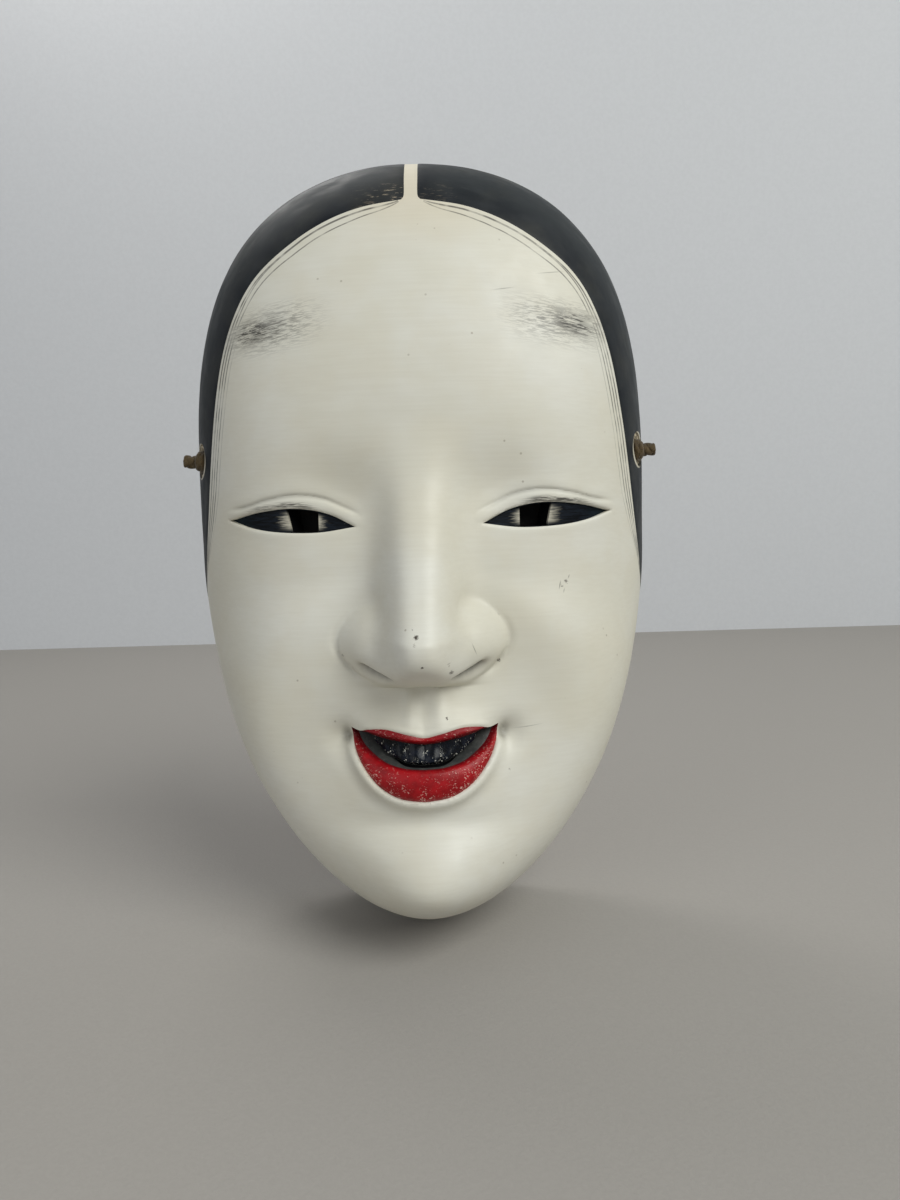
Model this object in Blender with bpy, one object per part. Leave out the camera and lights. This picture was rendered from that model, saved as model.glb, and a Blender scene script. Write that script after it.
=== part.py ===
"""A noh mask of the young-woman type: its carved wooden shell, painted layers and hanging cord.

Sizes and places are in millimetres here, and every object is built in metres, +Z up.
The mask faces -Y with its flat back rim in the plane y = 0.
The origin is on that rim, under the middle of the chin.
x runs across the face, z up it, and depth is how far a point stands forward of the back rim.
"""

import math

import bpy
import numpy as np
from mathutils.geometry import delaunay_2d_cdt

MM = 0.001
GAP = 0.36  # left between neighbouring layers

# Outline of the back rim, as two half superellipses that meet at the widest level.
CENTRE_Z = 102.7  # height of the widest level above the chin
HALF_WIDTH = 64.8
TOP_HEIGHT = 109.8  # from the widest level to the top
TOP_POWERS = (2.12, 3.7)  # across, up
CHIN_HEIGHT = 103.9
CHIN_POWERS = (1.82, 1.91)

# The dome of the face over that outline.
DOME = 40.0
DOME_POWER_SIDE = 2.8
DOME_POWER_CHIN = 14.0
RELIEF_POWER = 16.0  # the features fade out only close to the rim
JAW = 12.4  # how far the jaw stands forward of the dome, and the chin of the jaw
CHIN = 9.8
CHIN_Z = 17.4

# Layers: the painted ground over the wood, and the wood itself.
SKIN = 0.8
WOOD_SINK = SKIN + 0.34
WALL = 8.5  # width of the wooden rim
WOOD = 8.0  # thickness at the middle of the face
EYE_SINK = 1.1
MOUTH_SINK = 7.5
TEETH_SINK = 4.2
TEETH = 2.0

# The two holes for the cord, and the cord.
HOLE_Z = 130.3
HOLE_DEPTH = 14.5
HOLE_RADIUS = 3.6
CHAMFER_RADIUS = 4.65
CHAMFER_DEPTH = 1.4
CORD_RADIUS = 1.9
CORD_STEP = 7.5  # between the points of the cord's route
CORD_Z = 130.2
CORD_Y = -14.1  # the bore's middle, which is nearer the rim than its mouth
KNOT_PROUD = 0.5  # how far the knot's middle stands out of the hole's mouth
# Stations of a knot and its cut tail: distance outwards, radius.
KNOT = [(-2.2, 0.0), (-2.1, 1.8), (-1.5, 2.7), (-0.5, 3.3), (0.5, 3.4), (1.4, 2.9), (2.0, 2.0),
        (2.4, 1.9), (4.5, 1.9), (4.6, 0.0)]
# Right half of the cord's span behind the face, from the bore to its lowest point, as x, height.
SPAN = [(53.0, 130.2), (49.4, 129.7), (45.8, 127.4), (43.2, 123.0), (41.4, 116.6), (39.2, 108.1),
        (36.0, 98.8), (31.2, 89.2), (24.3, 80.0), (15.4, 73.0), (5.3, 69.5)]
ORIGIN_Z = 3.6  # the origin is in the middle of the wooden rim under the chin

NET_STEP = 7.6  # spacing of the surface's points
FINE_STEP = 4.2  # the same round the nose and the mouth
FINE_BOX = ((-27.0, 27.0), (38.0, 100.0))


def smooth_step(t):
    t = np.clip(t, 0.0, 1.0)
    return t * t * (3.0 - 2.0 * t)


def hill(x, z, centre, radii, power=2.0):
    """A soft bump of height 1."""
    across = (x - centre[0]) / radii[0]
    up = (z - centre[1]) / radii[1]
    return np.exp(-((across**2 + up**2) ** (power / 2.0)))


def join(a, b, width):
    """The higher of two surfaces, with the seam between them rounded."""
    h = np.clip(0.5 + 0.5 * (a - b) / width, 0.0, 1.0)
    return a * h + b * (1.0 - h) + width * h * (1.0 - h)


# ---- The rim's outline and the plane that the surface is laid out in ----


def rim_radius(angle):
    """Distance from the middle of the widest level to the rim, by halving."""
    across = np.abs(np.cos(angle)) / HALF_WIDTH
    top = np.sin(angle) > 0
    up = np.abs(np.sin(angle)) / np.where(top, TOP_HEIGHT, CHIN_HEIGHT)
    power_x = np.where(top, TOP_POWERS[0], CHIN_POWERS[0])
    power_z = np.where(top, TOP_POWERS[1], CHIN_POWERS[1])
    low = np.full_like(across, 50.0)
    high = np.full_like(across, 130.0)
    for _ in range(44):
        middle = 0.5 * (low + high)
        outside = (middle * across) ** power_x + (middle * up) ** power_z > 1.0
        high = np.where(outside, middle, high)
        low = np.where(outside, low, middle)
    return low


def rim_normal(angle):
    """The direction out of the rim's outline, in its own plane."""
    radius = rim_radius(angle)
    top = np.sin(angle) > 0
    high = np.where(top, TOP_HEIGHT, CHIN_HEIGHT)
    power_x = np.where(top, TOP_POWERS[0], CHIN_POWERS[0])
    power_z = np.where(top, TOP_POWERS[1], CHIN_POWERS[1])
    x = radius * np.cos(angle)
    z = radius * np.sin(angle)
    across = np.sign(x) * power_x / HALF_WIDTH * (np.abs(x) / HALF_WIDTH) ** (power_x - 1.0)
    up = np.sign(z) * power_z / high * (np.abs(z) / high) ** (power_z - 1.0)
    length = np.hypot(across, up)
    return across / length, up / length


def unfold(points):
    """Places in the layout plane of points given as x, z on the mask."""
    x, z = np.asarray(points, float).reshape(-1, 2).T
    z = z - CENTRE_Z
    angle = np.arctan2(z, x)
    radius = rim_radius(angle)
    spread = np.arcsin(np.clip(np.hypot(x, z) / radius, 0.0, 1.0)) * radius
    return np.stack([spread * np.cos(angle), spread * np.sin(angle)], axis=1)


def fold(net):
    """x, z, share of the way to the rim, and direction of points of the layout plane."""
    angle = np.arctan2(net[:, 1], net[:, 0])
    radius = rim_radius(angle)
    turn = np.clip(np.hypot(net[:, 0], net[:, 1]) / radius, 0.0, math.pi / 2.0)
    share = np.sin(turn)
    x = share * radius * np.cos(angle)
    z = CENTRE_Z + share * radius * np.sin(angle)
    return x, z, share, angle


# ---- The face ----


def base_depth(share, angle):
    down = smooth_step(-np.sin(angle)) ** 2
    power = DOME_POWER_SIDE + (DOME_POWER_CHIN - DOME_POWER_SIDE) * down
    return DOME * np.sqrt(np.clip(1.0 - share**power, 0.0, None))


def broad_relief(x, z):
    """The soft masses of the face: forehead, cheeks, jaw and chin."""
    side = np.abs(x)
    relief = 2.0 * hill(side, z, (0.0, 150.0), (34.0, 30.0))
    relief += 1.6 * hill(side, z, (36.0, 88.0), (17.0, 15.0))
    relief -= 2.6 * hill(side, z, (21.0, 120.0), (11.0, 10.0))
    relief += 7.0 * hill(side, z, (0.0, 57.0), (23.0, 21.0))
    relief += JAW * hill(side, z, (0.0, 28.0), (29.0, 22.0))
    relief += CHIN * hill(side, z, (0.0, CHIN_Z), (19.0, 13.0))
    return relief


def nose_relief(x, z):
    """The ridge, which widens to a round tip, blended with the two wings."""
    side = np.abs(x)
    length = np.clip((139.0 - z) / 55.0, 0.0, 1.0)
    under = np.clip(1.0 - (np.clip(84.0 - z, 0.0, None) / 13.6) ** 2, 0.0, None)
    tip = 23.6 * length**1.4 * under * (1.6 - 0.6 * under)
    ridge = tip * np.exp(-((side / (9.6 + 1.6 * length**2)) ** 2.8))
    reach = np.where(z > 81.0, 15.0, 10.6)
    full = np.clip(1.0 - (side / 22.3) ** 2 - ((z - 81.0) / reach) ** 2, 0.0, None)
    wings = 12.5 * full * (1.6 - 0.6 * full)
    return join(ridge, wings, 5.0) - join(0.0, 0.0, 5.0)


def mouth_relief(x, z):
    side = np.abs(x)
    relief = 2.6 * hill(side, z, (0.0, 48.8), (15.0, 6.0), 3.0)
    relief += 1.6 * hill(side, z, (7.0, 60.5), (9.0, 3.5))
    relief -= 2.8 * hill(side, z, (20.8, 57.8), (4.2, 4.0))
    relief -= 3.0 * hill(side, z, (0.0, 36.0), (16.0, 4.5))
    relief -= 0.8 * hill(side, z, (0.0, 67.0), (2.4, 5.0))
    return relief


def surface(net):
    """Points of the finished face over the layout plane."""
    x, z, share, angle = fold(net)
    inside = np.sqrt(np.clip(1.0 - share**RELIEF_POWER, 0.0, None))
    relief = broad_relief(x, z) + mouth_relief(x, z) + nose_relief(x, z)
    depth = base_depth(share, angle) + inside * relief
    return np.stack([x, -depth, z], axis=1)


def hollow(net):
    """Points of the carved back over the layout plane."""
    x, z, share, angle = fold(net)
    across, up = rim_normal(angle)
    depth = base_depth(share, angle) * (1.0 - (WOOD / DOME) * (1.0 - share**6))
    inside = np.sqrt(np.clip(1.0 - share**6, 0.0, None))
    depth = depth + inside * 0.75 * broad_relief(x, z)
    depth = depth + 9.0 * hill(x, z, (0.0, 86.0), (10.0, 14.0))
    x_in = x - WALL * across * share**2
    z_in = z - WALL * up * share**2
    return np.stack([x_in, -depth, z_in], axis=1)


def outward(net, at_rim):
    """Outward directions of the face's surface; on the rim they lie in the rim's plane."""
    step = 0.05
    radius = rim_radius(np.arctan2(net[:, 1], net[:, 0]))
    reach = np.hypot(net[:, 0], net[:, 1]) / (radius * math.pi / 2.0)
    near = net * np.minimum(1.0, 0.998 / np.maximum(reach, 1e-6))[:, None]
    along = surface(near + (step, 0.0)) - surface(near - (step, 0.0))
    up = surface(near + (0.0, step)) - surface(near - (0.0, step))
    direction = np.cross(along, up)
    direction[at_rim, 1] = 0.0
    return direction / np.linalg.norm(direction, axis=1)[:, None]


# ---- Outlines drawn on the face, as x, z ----


def smooth_line(points, step):
    """Points about a step apart along a smooth curve through the given ones."""
    given = np.asarray(points, float)
    padded = np.vstack([2 * given[0] - given[1], given, 2 * given[-1] - given[-2]])
    line = []
    for before, start, end, after in zip(padded, padded[1:], padded[2:], padded[3:]):
        pieces = max(1, round(float(np.linalg.norm(end - start)) / step))
        for t in np.arange(pieces) / pieces:
            bend = 2 * before - 5 * start + 4 * end - after
            twist = 3 * start - before - 3 * end + after
            line.append(0.5 * (2 * start + (end - before) * t + bend * t**2 + twist * t**3))
    line.append(given[-1])
    return np.array(line)


def mirrored(points):
    return np.asarray(points)[::-1] * (-1.0, 1.0)


EYE_UPPER = [(16.5, 111.6), (23.9, 115.2), (32.5, 116.6), (42.4, 115.8), (51.4, 113.8)]
EYE_LOWER = [(51.4, 113.8), (45.5, 111.9), (39.5, 110.8), (32.4, 110.3), (25.0, 110.4), (16.5, 111.6)]
PUPIL = [(26.1, 110.9), (34.0, 110.9), (34.0, 115.9), (26.1, 115.4)]
MOUTH_TOP = [(0.0, 58.4), (4.4, 59.2), (9.6, 60.5), (14.1, 60.2), (16.6, 59.6), (19.1, 60.1)]
MOUTH_BOTTOM = [(19.1, 60.1), (18.3, 56.0), (15.9, 51.2), (11.8, 46.7), (6.5, 43.9), (0.0, 43.0)]
UPPER_LIP_END = (16.2, 59.6)
UPPER_LIP_BASE = [UPPER_LIP_END, (13.6, 58.6), (8.6, 57.9), (4.0, 57.5), (0.0, 57.3)]
LOWER_LIP_EDGE = [(0.0, 51.1), (5.5, 51.4), (10.6, 52.5), (14.6, 54.6), (16.9, 57.6)]
OPEN_TOP = [(0.0, 57.0), (4.0, 57.2), (8.6, 57.6), (13.6, 58.3), (16.4, 58.6)]
OPEN_BOTTOM = [(16.4, 58.6), (14.2, 55.0), (10.4, 52.9), (5.5, 51.8), (0.0, 51.5)]
TEETH_TOP = [(0.0, 56.6), (5.0, 56.8), (10.0, 57.3), (13.6, 57.8)]
TEETH_BOTTOM = [(13.6, 57.8), (12.4, 55.4), (9.6, 54.1), (5.0, 53.3), (0.0, 53.1)]
SLOT_TOP = [(0.0, 52.8), (5.0, 53.0), (9.2, 53.7)]
SLOT_BOTTOM = [(9.2, 53.7), (5.2, 52.1), (0.0, 51.9)]
HAIRLINE = [(1.8, 211.6), (1.8, 204.0), (1.8, 197.9), (2.5, 196.5), (13.9, 194.5), (23.9, 190.6),
            (33.9, 184.3), (42.2, 177.1), (47.9, 167.9), (52.0, 156.1), (55.2, 139.6), (58.9, 116.0),
            (61.5, 101.0), (63.6, 88.0)]


def mirrored_loop(upper, lower, step):
    """A loop that is symmetric across the face, from its right half's two lines."""
    right = np.vstack([smooth_line(upper, step), smooth_line(lower, step)[1:]])
    return np.vstack([right, mirrored(right)[1:-1]])


def loop(upper, lower, step):
    return np.vstack([smooth_line(upper, step)[:-1], smooth_line(lower, step)[:-1]])


def grown(outline, amount):
    """The outline moved outwards by an amount, or inwards by a negative one."""
    before = np.roll(outline, 1, axis=0)
    after = np.roll(outline, -1, axis=0)
    area = np.sum(outline[:, 0] * after[:, 1] - after[:, 0] * outline[:, 1])
    along = after - before
    along = along / np.maximum(np.linalg.norm(along, axis=1), 1e-9)[:, None]
    out = np.stack([along[:, 1], -along[:, 0]], axis=1) * np.sign(area)
    return outline + amount * out


def inside_loop(points, outline):
    x, y = points[:, :1], points[:, 1:]
    x0, y0 = outline[:, 0], outline[:, 1]
    x1, y1 = np.roll(x0, -1), np.roll(y0, -1)
    spans = (y0 > y) != (y1 > y)
    run = np.where(y1 == y0, 1.0, y1 - y0)
    crosses = spans & (x < (x1 - x0) * (y - y0) / run + x0)
    return crosses.sum(axis=1) % 2 == 1


# ---- The layout: one triangulation shared by the wood and by every painted layer ----


def rim_points(first, last, count):
    """Points on the rim in the layout plane, between two directions."""
    angle = np.linspace(first, last, count)
    radius = rim_radius(angle) * math.pi / 2.0
    return np.stack([radius * np.cos(angle), radius * np.sin(angle)], axis=1)


def hole_centre():
    """Place of the right cord hole in the layout plane: at its height and its depth."""
    low, high = 50.0, HALF_WIDTH
    for _ in range(40):
        x = 0.5 * (low + high)
        depth = -surface(unfold([(x, HOLE_Z)]))[0, 1]
        low, high = (x, high) if depth > HOLE_DEPTH else (low, x)
    return unfold([(x, HOLE_Z)])[0]


def round_hole(centre, radius, sides):
    """A circle of a real radius on the face, drawn in the layout plane."""
    step = 0.2
    here, out, up = surface(np.array([centre, centre - (step, 0.0), centre + (0.0, step)]))
    rates = np.linalg.norm(out - here) / step, np.linalg.norm(up - here) / step
    angle = np.arange(sides) * 2.0 * math.pi / sides
    ring = np.stack([np.cos(angle) / rates[0], np.sin(angle) / rates[1]], axis=1)
    return centre + radius * ring


def spaced_grid(step, low, high):
    """Points of a triangular grid that fills a box."""
    rows = np.arange(low[1], high[1], step * math.sqrt(0.75))
    columns = np.arange(low[0], high[0], step)
    grid = [(x + 0.5 * step * (row % 2), z) for row, z in enumerate(rows) for x in columns]
    return np.array(grid)


def grown_line(points, amount):
    """A smooth line through points, moved to its left by an amount."""
    line = smooth_line(points, 4.0)
    along = np.gradient(line, axis=0)
    along /= np.linalg.norm(along, axis=1)[:, None]
    return line + amount * np.stack([-along[:, 1], along[:, 0]], axis=1)


def hair_edge(amount):
    """The right hairline in the layout plane, moved outwards, from rim to rim."""
    line = unfold(grown_line(HAIRLINE, amount))
    start = math.atan2(line[0, 1], line[0, 0])
    end = math.atan2(line[-1, 1], line[-1, 0])
    return np.vstack([rim_points(start, start, 1), line, rim_points(end, end, 1)])


def hair_side(amount):
    """Everything outside the right hairline, as a loop that runs past the rim."""
    edge = hair_edge(amount)
    start = math.atan2(edge[0, 1], edge[0, 0])
    end = math.atan2(edge[-1, 1], edge[-1, 0])
    return np.vstack([edge, 1.1 * rim_points(end, start, 40)])


def layout_outlines():
    """Every outline of the layout by name, in the layout plane; the left ones mirror the right."""
    half = GAP / 2.0
    eye = loop(EYE_UPPER, EYE_LOWER, 3.5)
    mouth = mirrored_loop(MOUTH_TOP, MOUTH_BOTTOM, 2.6)
    upper_lip = mirrored_loop(MOUTH_TOP[:-2] + [UPPER_LIP_END], UPPER_LIP_BASE, 2.6)
    lower_lip = mirrored_loop(LOWER_LIP_EDGE, MOUTH_BOTTOM[1:], 2.6)
    opening = mirrored_loop(OPEN_TOP, OPEN_BOTTOM, 2.6)
    centre = hole_centre()
    right = {
        "eye_hole": unfold(grown(eye, half)),
        "eye": unfold(grown(eye, -half)),
        "pupil": unfold(PUPIL),
        "hair": hair_side(GAP / 2.0),
        "bare": hair_side(-GAP / 2.0),
        "chamfer": round_hole(centre, CHAMFER_RADIUS, 14),
        "cord_hole": round_hole(centre, HOLE_RADIUS, 14),
    }
    middle = {
        "mouth_hole": unfold(grown(mouth, half)),
        "upper_lip": unfold(grown(upper_lip, -half)),
        "lower_lip": unfold(grown(lower_lip, -half)),
        "opening": unfold(opening),
        "pocket": unfold(grown(opening, -0.25)),
        "teeth": unfold(mirrored_loop(TEETH_TOP, TEETH_BOTTOM, 2.6)),
        "slot": unfold(mirrored_loop(SLOT_TOP, SLOT_BOTTOM, 2.6)),
    }
    outlines = dict(middle)
    for name, outline in right.items():
        outlines["right_" + name] = outline
        outlines["left_" + name] = mirrored(outline)
    return outlines


def rim_loop(edges):
    """The rim in the layout plane, with a point wherever a hairline meets it."""
    ends = np.vstack([line[[0, -1]] for line in edges])
    angle = np.arctan2(ends[:, 1], ends[:, 0])
    even = np.arange(-math.pi, math.pi - 1e-9, 2.0 * math.pi / 96.0)
    far = np.abs(even[:, None] - angle).min(axis=1) > 0.02
    angle = np.sort(np.concatenate([angle, even[far]]))
    radius = rim_radius(angle) * math.pi / 2.0
    return np.stack([radius * np.cos(angle), radius * np.sin(angle)], axis=1)


def triangulate(outlines):
    """The layout's points and triangles, and which of the points are on the rim."""
    right_edges = [hair_edge(GAP / 2.0), hair_edge(-GAP / 2.0)]
    edges = right_edges + [mirrored(line) for line in right_edges]
    rim = rim_loop(edges)
    loops = [outline for name, outline in outlines.items() if not name.endswith(("hair", "bare"))]
    lines = [(rim, True)] + [(line, False) for line in edges] + [(line, True) for line in loops]
    points, links = [], []
    for line, closed in lines:
        first = len(points)
        points.extend(line)
        links += [(first + i, first + i + 1) for i in range(len(line) - 1)]
        if closed:
            links.append((len(points) - 1, first))
    drawn = np.array(points)
    low, high = rim.min(axis=0), rim.max(axis=0)
    coarse = spaced_grid(NET_STEP, low, high)
    fine_low, fine_high = unfold(np.array(FINE_BOX).T)
    fine = spaced_grid(FINE_STEP, fine_low, fine_high)
    in_box = ((coarse > fine_low - 1.0) & (coarse < fine_high + 1.0)).all(axis=1)
    for grid, clear in ((coarse[~in_box], 0.62 * NET_STEP), (fine, 0.62 * FINE_STEP)):
        gap = np.linalg.norm(grid[:, None] - drawn, axis=2).min(axis=1)
        points.extend(grid[(gap > clear) & inside_loop(grid, 0.985 * rim)])
    made = delaunay_2d_cdt([tuple(p) for p in points], links, [], 0, 1e-5)
    net = np.array([tuple(p) for p in made[0]])
    triangles = np.array(made[2])
    keep = inside_loop(net[triangles].mean(axis=1), rim)
    a, b, c = net[triangles].transpose(1, 0, 2)
    turn = (b - a)[:, 0] * (c - a)[:, 1] - (b - a)[:, 1] * (c - a)[:, 0]
    triangles = np.where(turn[:, None] > 0, triangles, triangles[:, ::-1])
    radius = rim_radius(np.arctan2(net[:, 1], net[:, 0])) * math.pi / 2.0
    at_rim = np.hypot(net[:, 0], net[:, 1]) > radius - 1e-3
    return net, triangles[keep & (np.abs(turn) > 1e-7)], at_rim


# ---- Objects ----


def material(name, colour, roughness, metallic=0.0):
    made = bpy.data.materials.new(name)
    made.use_nodes = True
    shader = made.node_tree.nodes["Principled BSDF"]
    shader.inputs["Base Color"].default_value = (*colour, 1.0)
    shader.inputs["Roughness"].default_value = roughness
    shader.inputs["Metallic"].default_value = metallic
    made.diffuse_color = (*colour, 1.0)
    return made


def add_object(name, data, finish):
    data.materials.append(finish)
    made = bpy.data.objects.new(name, data)
    bpy.context.scene.collection.objects.link(made)
    return made


def add_layer(name, finish, triangles, top, bottom):
    """A closed solid between two surfaces over the same triangles of the layout."""
    used, faces = np.unique(triangles, return_inverse=True)
    faces = faces.reshape(-1, 3)
    count = len(used)
    sides = np.concatenate([faces[:, [0, 1]], faces[:, [1, 2]], faces[:, [2, 0]]])
    directed = {tuple(side) for side in sides.tolist()}
    walls = [(b, a, a + count, b + count) for a, b in sorted(directed) if (b, a) not in directed]
    mesh = bpy.data.meshes.new(name)
    verts = np.vstack([top[used], bottom[used]]) - (0.0, 0.0, ORIGIN_Z)
    inner = (faces[:, ::-1] + count).tolist()
    mesh.from_pydata((verts * MM).tolist(), [], faces.tolist() + inner + walls)
    mesh.shade_smooth()
    mesh.set_sharp_from_angle(angle=math.radians(50.0))
    return add_object(name, mesh, finish)


def add_turned(name, finish, profile, centre, side):
    """A solid turned about a line along X, from stations (distance outwards, radius)."""
    sides = 14
    angle = np.arange(sides) * 2.0 * math.pi / sides
    verts = [(side * profile[0][0], 0.0, 0.0)]
    for out, radius in profile[1:-1]:
        verts += [(side * out, radius * math.cos(t), radius * math.sin(t)) for t in angle]
    verts.append((side * profile[-1][0], 0.0, 0.0))
    last = len(verts) - 1
    faces = []
    for i in range(sides):
        j = (i + 1) % sides
        faces.append((0, 1 + j, 1 + i))
        for ring in range(len(profile) - 3):
            a = 1 + ring * sides
            faces.append((a + i, a + j, a + sides + j, a + sides + i))
        faces.append((last, last - sides + i, last - sides + j))
    if side < 0:
        faces = [face[::-1] for face in faces]
    mesh = bpy.data.meshes.new(name)
    mesh.from_pydata([[c * MM for c in vert] for vert in verts], [], faces)
    mesh.shade_smooth()
    made = add_object(name, mesh, finish)
    made.location = [c * MM for c in centre]
    return made


def add_cord(name, finish, route):
    """A round cord along a smooth curve through the route's points."""
    line = smooth_line(route, CORD_STEP) - (0.0, 0.0, ORIGIN_Z)
    curve = bpy.data.curves.new(name, "CURVE")
    curve.dimensions = "3D"
    curve.bevel_depth = CORD_RADIUS * MM
    curve.bevel_resolution = 2
    curve.use_fill_caps = True
    spline = curve.splines.new("POLY")
    spline.points.add(len(line) - 1)
    for point, place in zip(spline.points, line):
        point.co = (*(place * MM), 1.0)
    return add_object(name, curve, finish)


def build():
    for old in list(bpy.data.objects):
        bpy.data.objects.remove(old)

    wood = material("bare cypress wood", (0.55, 0.40, 0.24), 0.75)
    white = material("ivory ground", (0.82, 0.79, 0.68), 0.55)
    black = material("slate black ink", (0.035, 0.042, 0.048), 0.5)
    red = material("vermilion lip paint", (0.48, 0.012, 0.018), 0.45)
    dark = material("blackened teeth", (0.012, 0.014, 0.022), 0.25)
    eye_paint = material("eye paint", (0.10, 0.11, 0.14), 0.4)
    olive = material("olive brown cord", (0.12, 0.075, 0.022), 0.85)

    outlines = layout_outlines()
    net, triangles, at_rim = triangulate(outlines)
    middles = net[triangles].mean(axis=1)
    face = surface(net)
    normal = outward(net, at_rim)

    def within(name, points):
        return inside_loop(points, outlines[name])

    def either(name, points):
        return within("right_" + name, points) | within("left_" + name, points)

    def touching(name, points):
        grown_out = grown(outlines[name], 0.03)
        return inside_loop(points, grown_out)

    def sunk(amount):
        """The face's surface moved into the wood by one amount, or by an amount at each point."""
        return face - normal * np.broadcast_to(amount, len(net))[:, None]

    # The carved block under the paint.
    sink = np.full(len(net), WOOD_SINK)
    for side in ("right_", "left_"):
        sink[touching(side + "eye", net)] = WOOD_SINK + EYE_SINK
        sink[touching(side + "cord_hole", net)] = WOOD_SINK + CHAMFER_DEPTH
    sink[touching("pocket", net)] = MOUTH_SINK
    holes = either("pupil", middles) | either("cord_hole", middles) | within("slot", middles)
    add_layer("wood_core", wood, triangles[~holes], sunk(sink), hollow(net))

    # The painted layers over it.
    off_face = either("bare", middles) | either("eye_hole", middles)
    off_face |= within("mouth_hole", middles)
    top, bottom = sunk(0.0), sunk(SKIN)
    add_layer("face_ground", white, triangles[~off_face], top, bottom)
    add_layer("upper_lip", red, triangles[within("upper_lip", middles)], top, bottom)
    add_layer("lower_lip", red, triangles[within("lower_lip", middles)], top, bottom)
    teeth_top, teeth_bottom = sunk(TEETH_SINK), sunk(TEETH_SINK + TEETH)
    add_layer("upper_teeth", dark, triangles[within("teeth", middles)], teeth_top, teeth_bottom)
    eye_top, eye_bottom = sunk(EYE_SINK), sunk(EYE_SINK + SKIN)
    for side in ("right_", "left_"):
        hair = within(side + "hair", middles) & ~within(side + "chamfer", middles)
        add_layer(side + "hair", black, triangles[hair], top, bottom)
        eye = within(side + "eye", middles) & ~within(side + "pupil", middles)
        add_layer(side + "eye", eye_paint, triangles[eye], eye_top, eye_bottom)

    # The cord: a knot in each hole's mouth, and one span behind the face.
    knot_x = surface(np.array([hole_centre()]))[0, 0] + KNOT_PROUD
    for side, sign in (("right_", 1), ("left_", -1)):
        centre = (sign * knot_x, CORD_Y, CORD_Z - ORIGIN_Z)
        add_turned(side + "cord_knot", olive, KNOT, centre, sign)
    end = (knot_x + KNOT[0][0] - 0.3, CORD_Z)
    half = [(x, CORD_Y, z) for x, z in [end] + SPAN]
    route = half + [(-x, y, z) for x, y, z in half[::-1]]
    add_cord("hanging_cord", olive, route)


build()
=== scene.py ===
"""Looks of the noh mask: its painted face, hair, lips, teeth and eyes, its carved back and its braided cord.

Sizes and places are in millimetres here until a mesh is made. The mask faces -Y with its back rim in the
plane y = 0; x runs across the face and z up it. The face, rim and cord repeat the CAD part's shapes.
"""

import math

import bpy
import numpy as np
from mathutils import Matrix, Vector
from mathutils.geometry import delaunay_2d_cdt
from mathutils.kdtree import KDTree


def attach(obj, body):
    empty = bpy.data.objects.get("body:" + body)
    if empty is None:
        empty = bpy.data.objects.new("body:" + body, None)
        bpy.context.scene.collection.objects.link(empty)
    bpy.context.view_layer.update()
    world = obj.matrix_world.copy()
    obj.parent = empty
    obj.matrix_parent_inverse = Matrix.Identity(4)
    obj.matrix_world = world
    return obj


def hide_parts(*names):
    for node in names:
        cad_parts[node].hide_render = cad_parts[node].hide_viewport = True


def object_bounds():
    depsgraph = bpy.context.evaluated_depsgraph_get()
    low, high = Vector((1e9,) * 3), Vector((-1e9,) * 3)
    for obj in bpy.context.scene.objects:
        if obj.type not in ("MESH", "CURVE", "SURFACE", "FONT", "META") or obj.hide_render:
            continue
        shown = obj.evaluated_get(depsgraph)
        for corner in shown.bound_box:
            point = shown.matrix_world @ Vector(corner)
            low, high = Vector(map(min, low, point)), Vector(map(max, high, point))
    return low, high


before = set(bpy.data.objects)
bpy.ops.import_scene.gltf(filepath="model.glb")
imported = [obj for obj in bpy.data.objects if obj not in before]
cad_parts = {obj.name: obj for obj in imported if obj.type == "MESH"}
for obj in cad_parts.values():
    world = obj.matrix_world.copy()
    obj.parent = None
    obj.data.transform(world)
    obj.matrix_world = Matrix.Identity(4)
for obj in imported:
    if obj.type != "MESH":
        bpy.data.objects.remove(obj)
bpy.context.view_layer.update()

MM = 0.001
ORIGIN_Z = 3.6  # the frame's origin stands this much above the height 0 of the face's formulas

# ---- The CAD part's own numbers ----

CENTRE_Z = 102.7
HALF_WIDTH = 64.8
TOP_HEIGHT = 109.8
TOP_POWERS = (2.12, 3.7)
CHIN_HEIGHT = 103.9
CHIN_POWERS = (1.82, 1.91)
DOME = 40.0
DOME_POWER_SIDE = 2.8
DOME_POWER_CHIN = 14.0
RELIEF_POWER = 16.0
JAW = 12.4
CHIN = 9.8
CHIN_Z = 17.4
SKIN = 0.8
WALL = 8.5
WOOD = 8.0
EYE_SINK = 1.1
HOLE_Z = 130.3
HOLE_DEPTH = 14.5
HOLE_RADIUS = 3.6
CHAMFER_RADIUS = 4.65
CHAMFER_DEPTH = 1.4
CORD_RADIUS = 1.9
CORD_Z = 130.2
CORD_Y = -14.1
KNOT_PROUD = 0.5
KNOT_TURNS = 1.9
SPAN = [(53.0, 130.2), (49.4, 129.7), (45.8, 127.4), (43.2, 123.0), (41.4, 116.6), (39.2, 108.1),
        (36.0, 98.8), (31.2, 89.2), (24.3, 80.0), (15.4, 73.0), (5.3, 69.5)]

# ---- Outlines on the face, right half, as x, z ----

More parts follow.
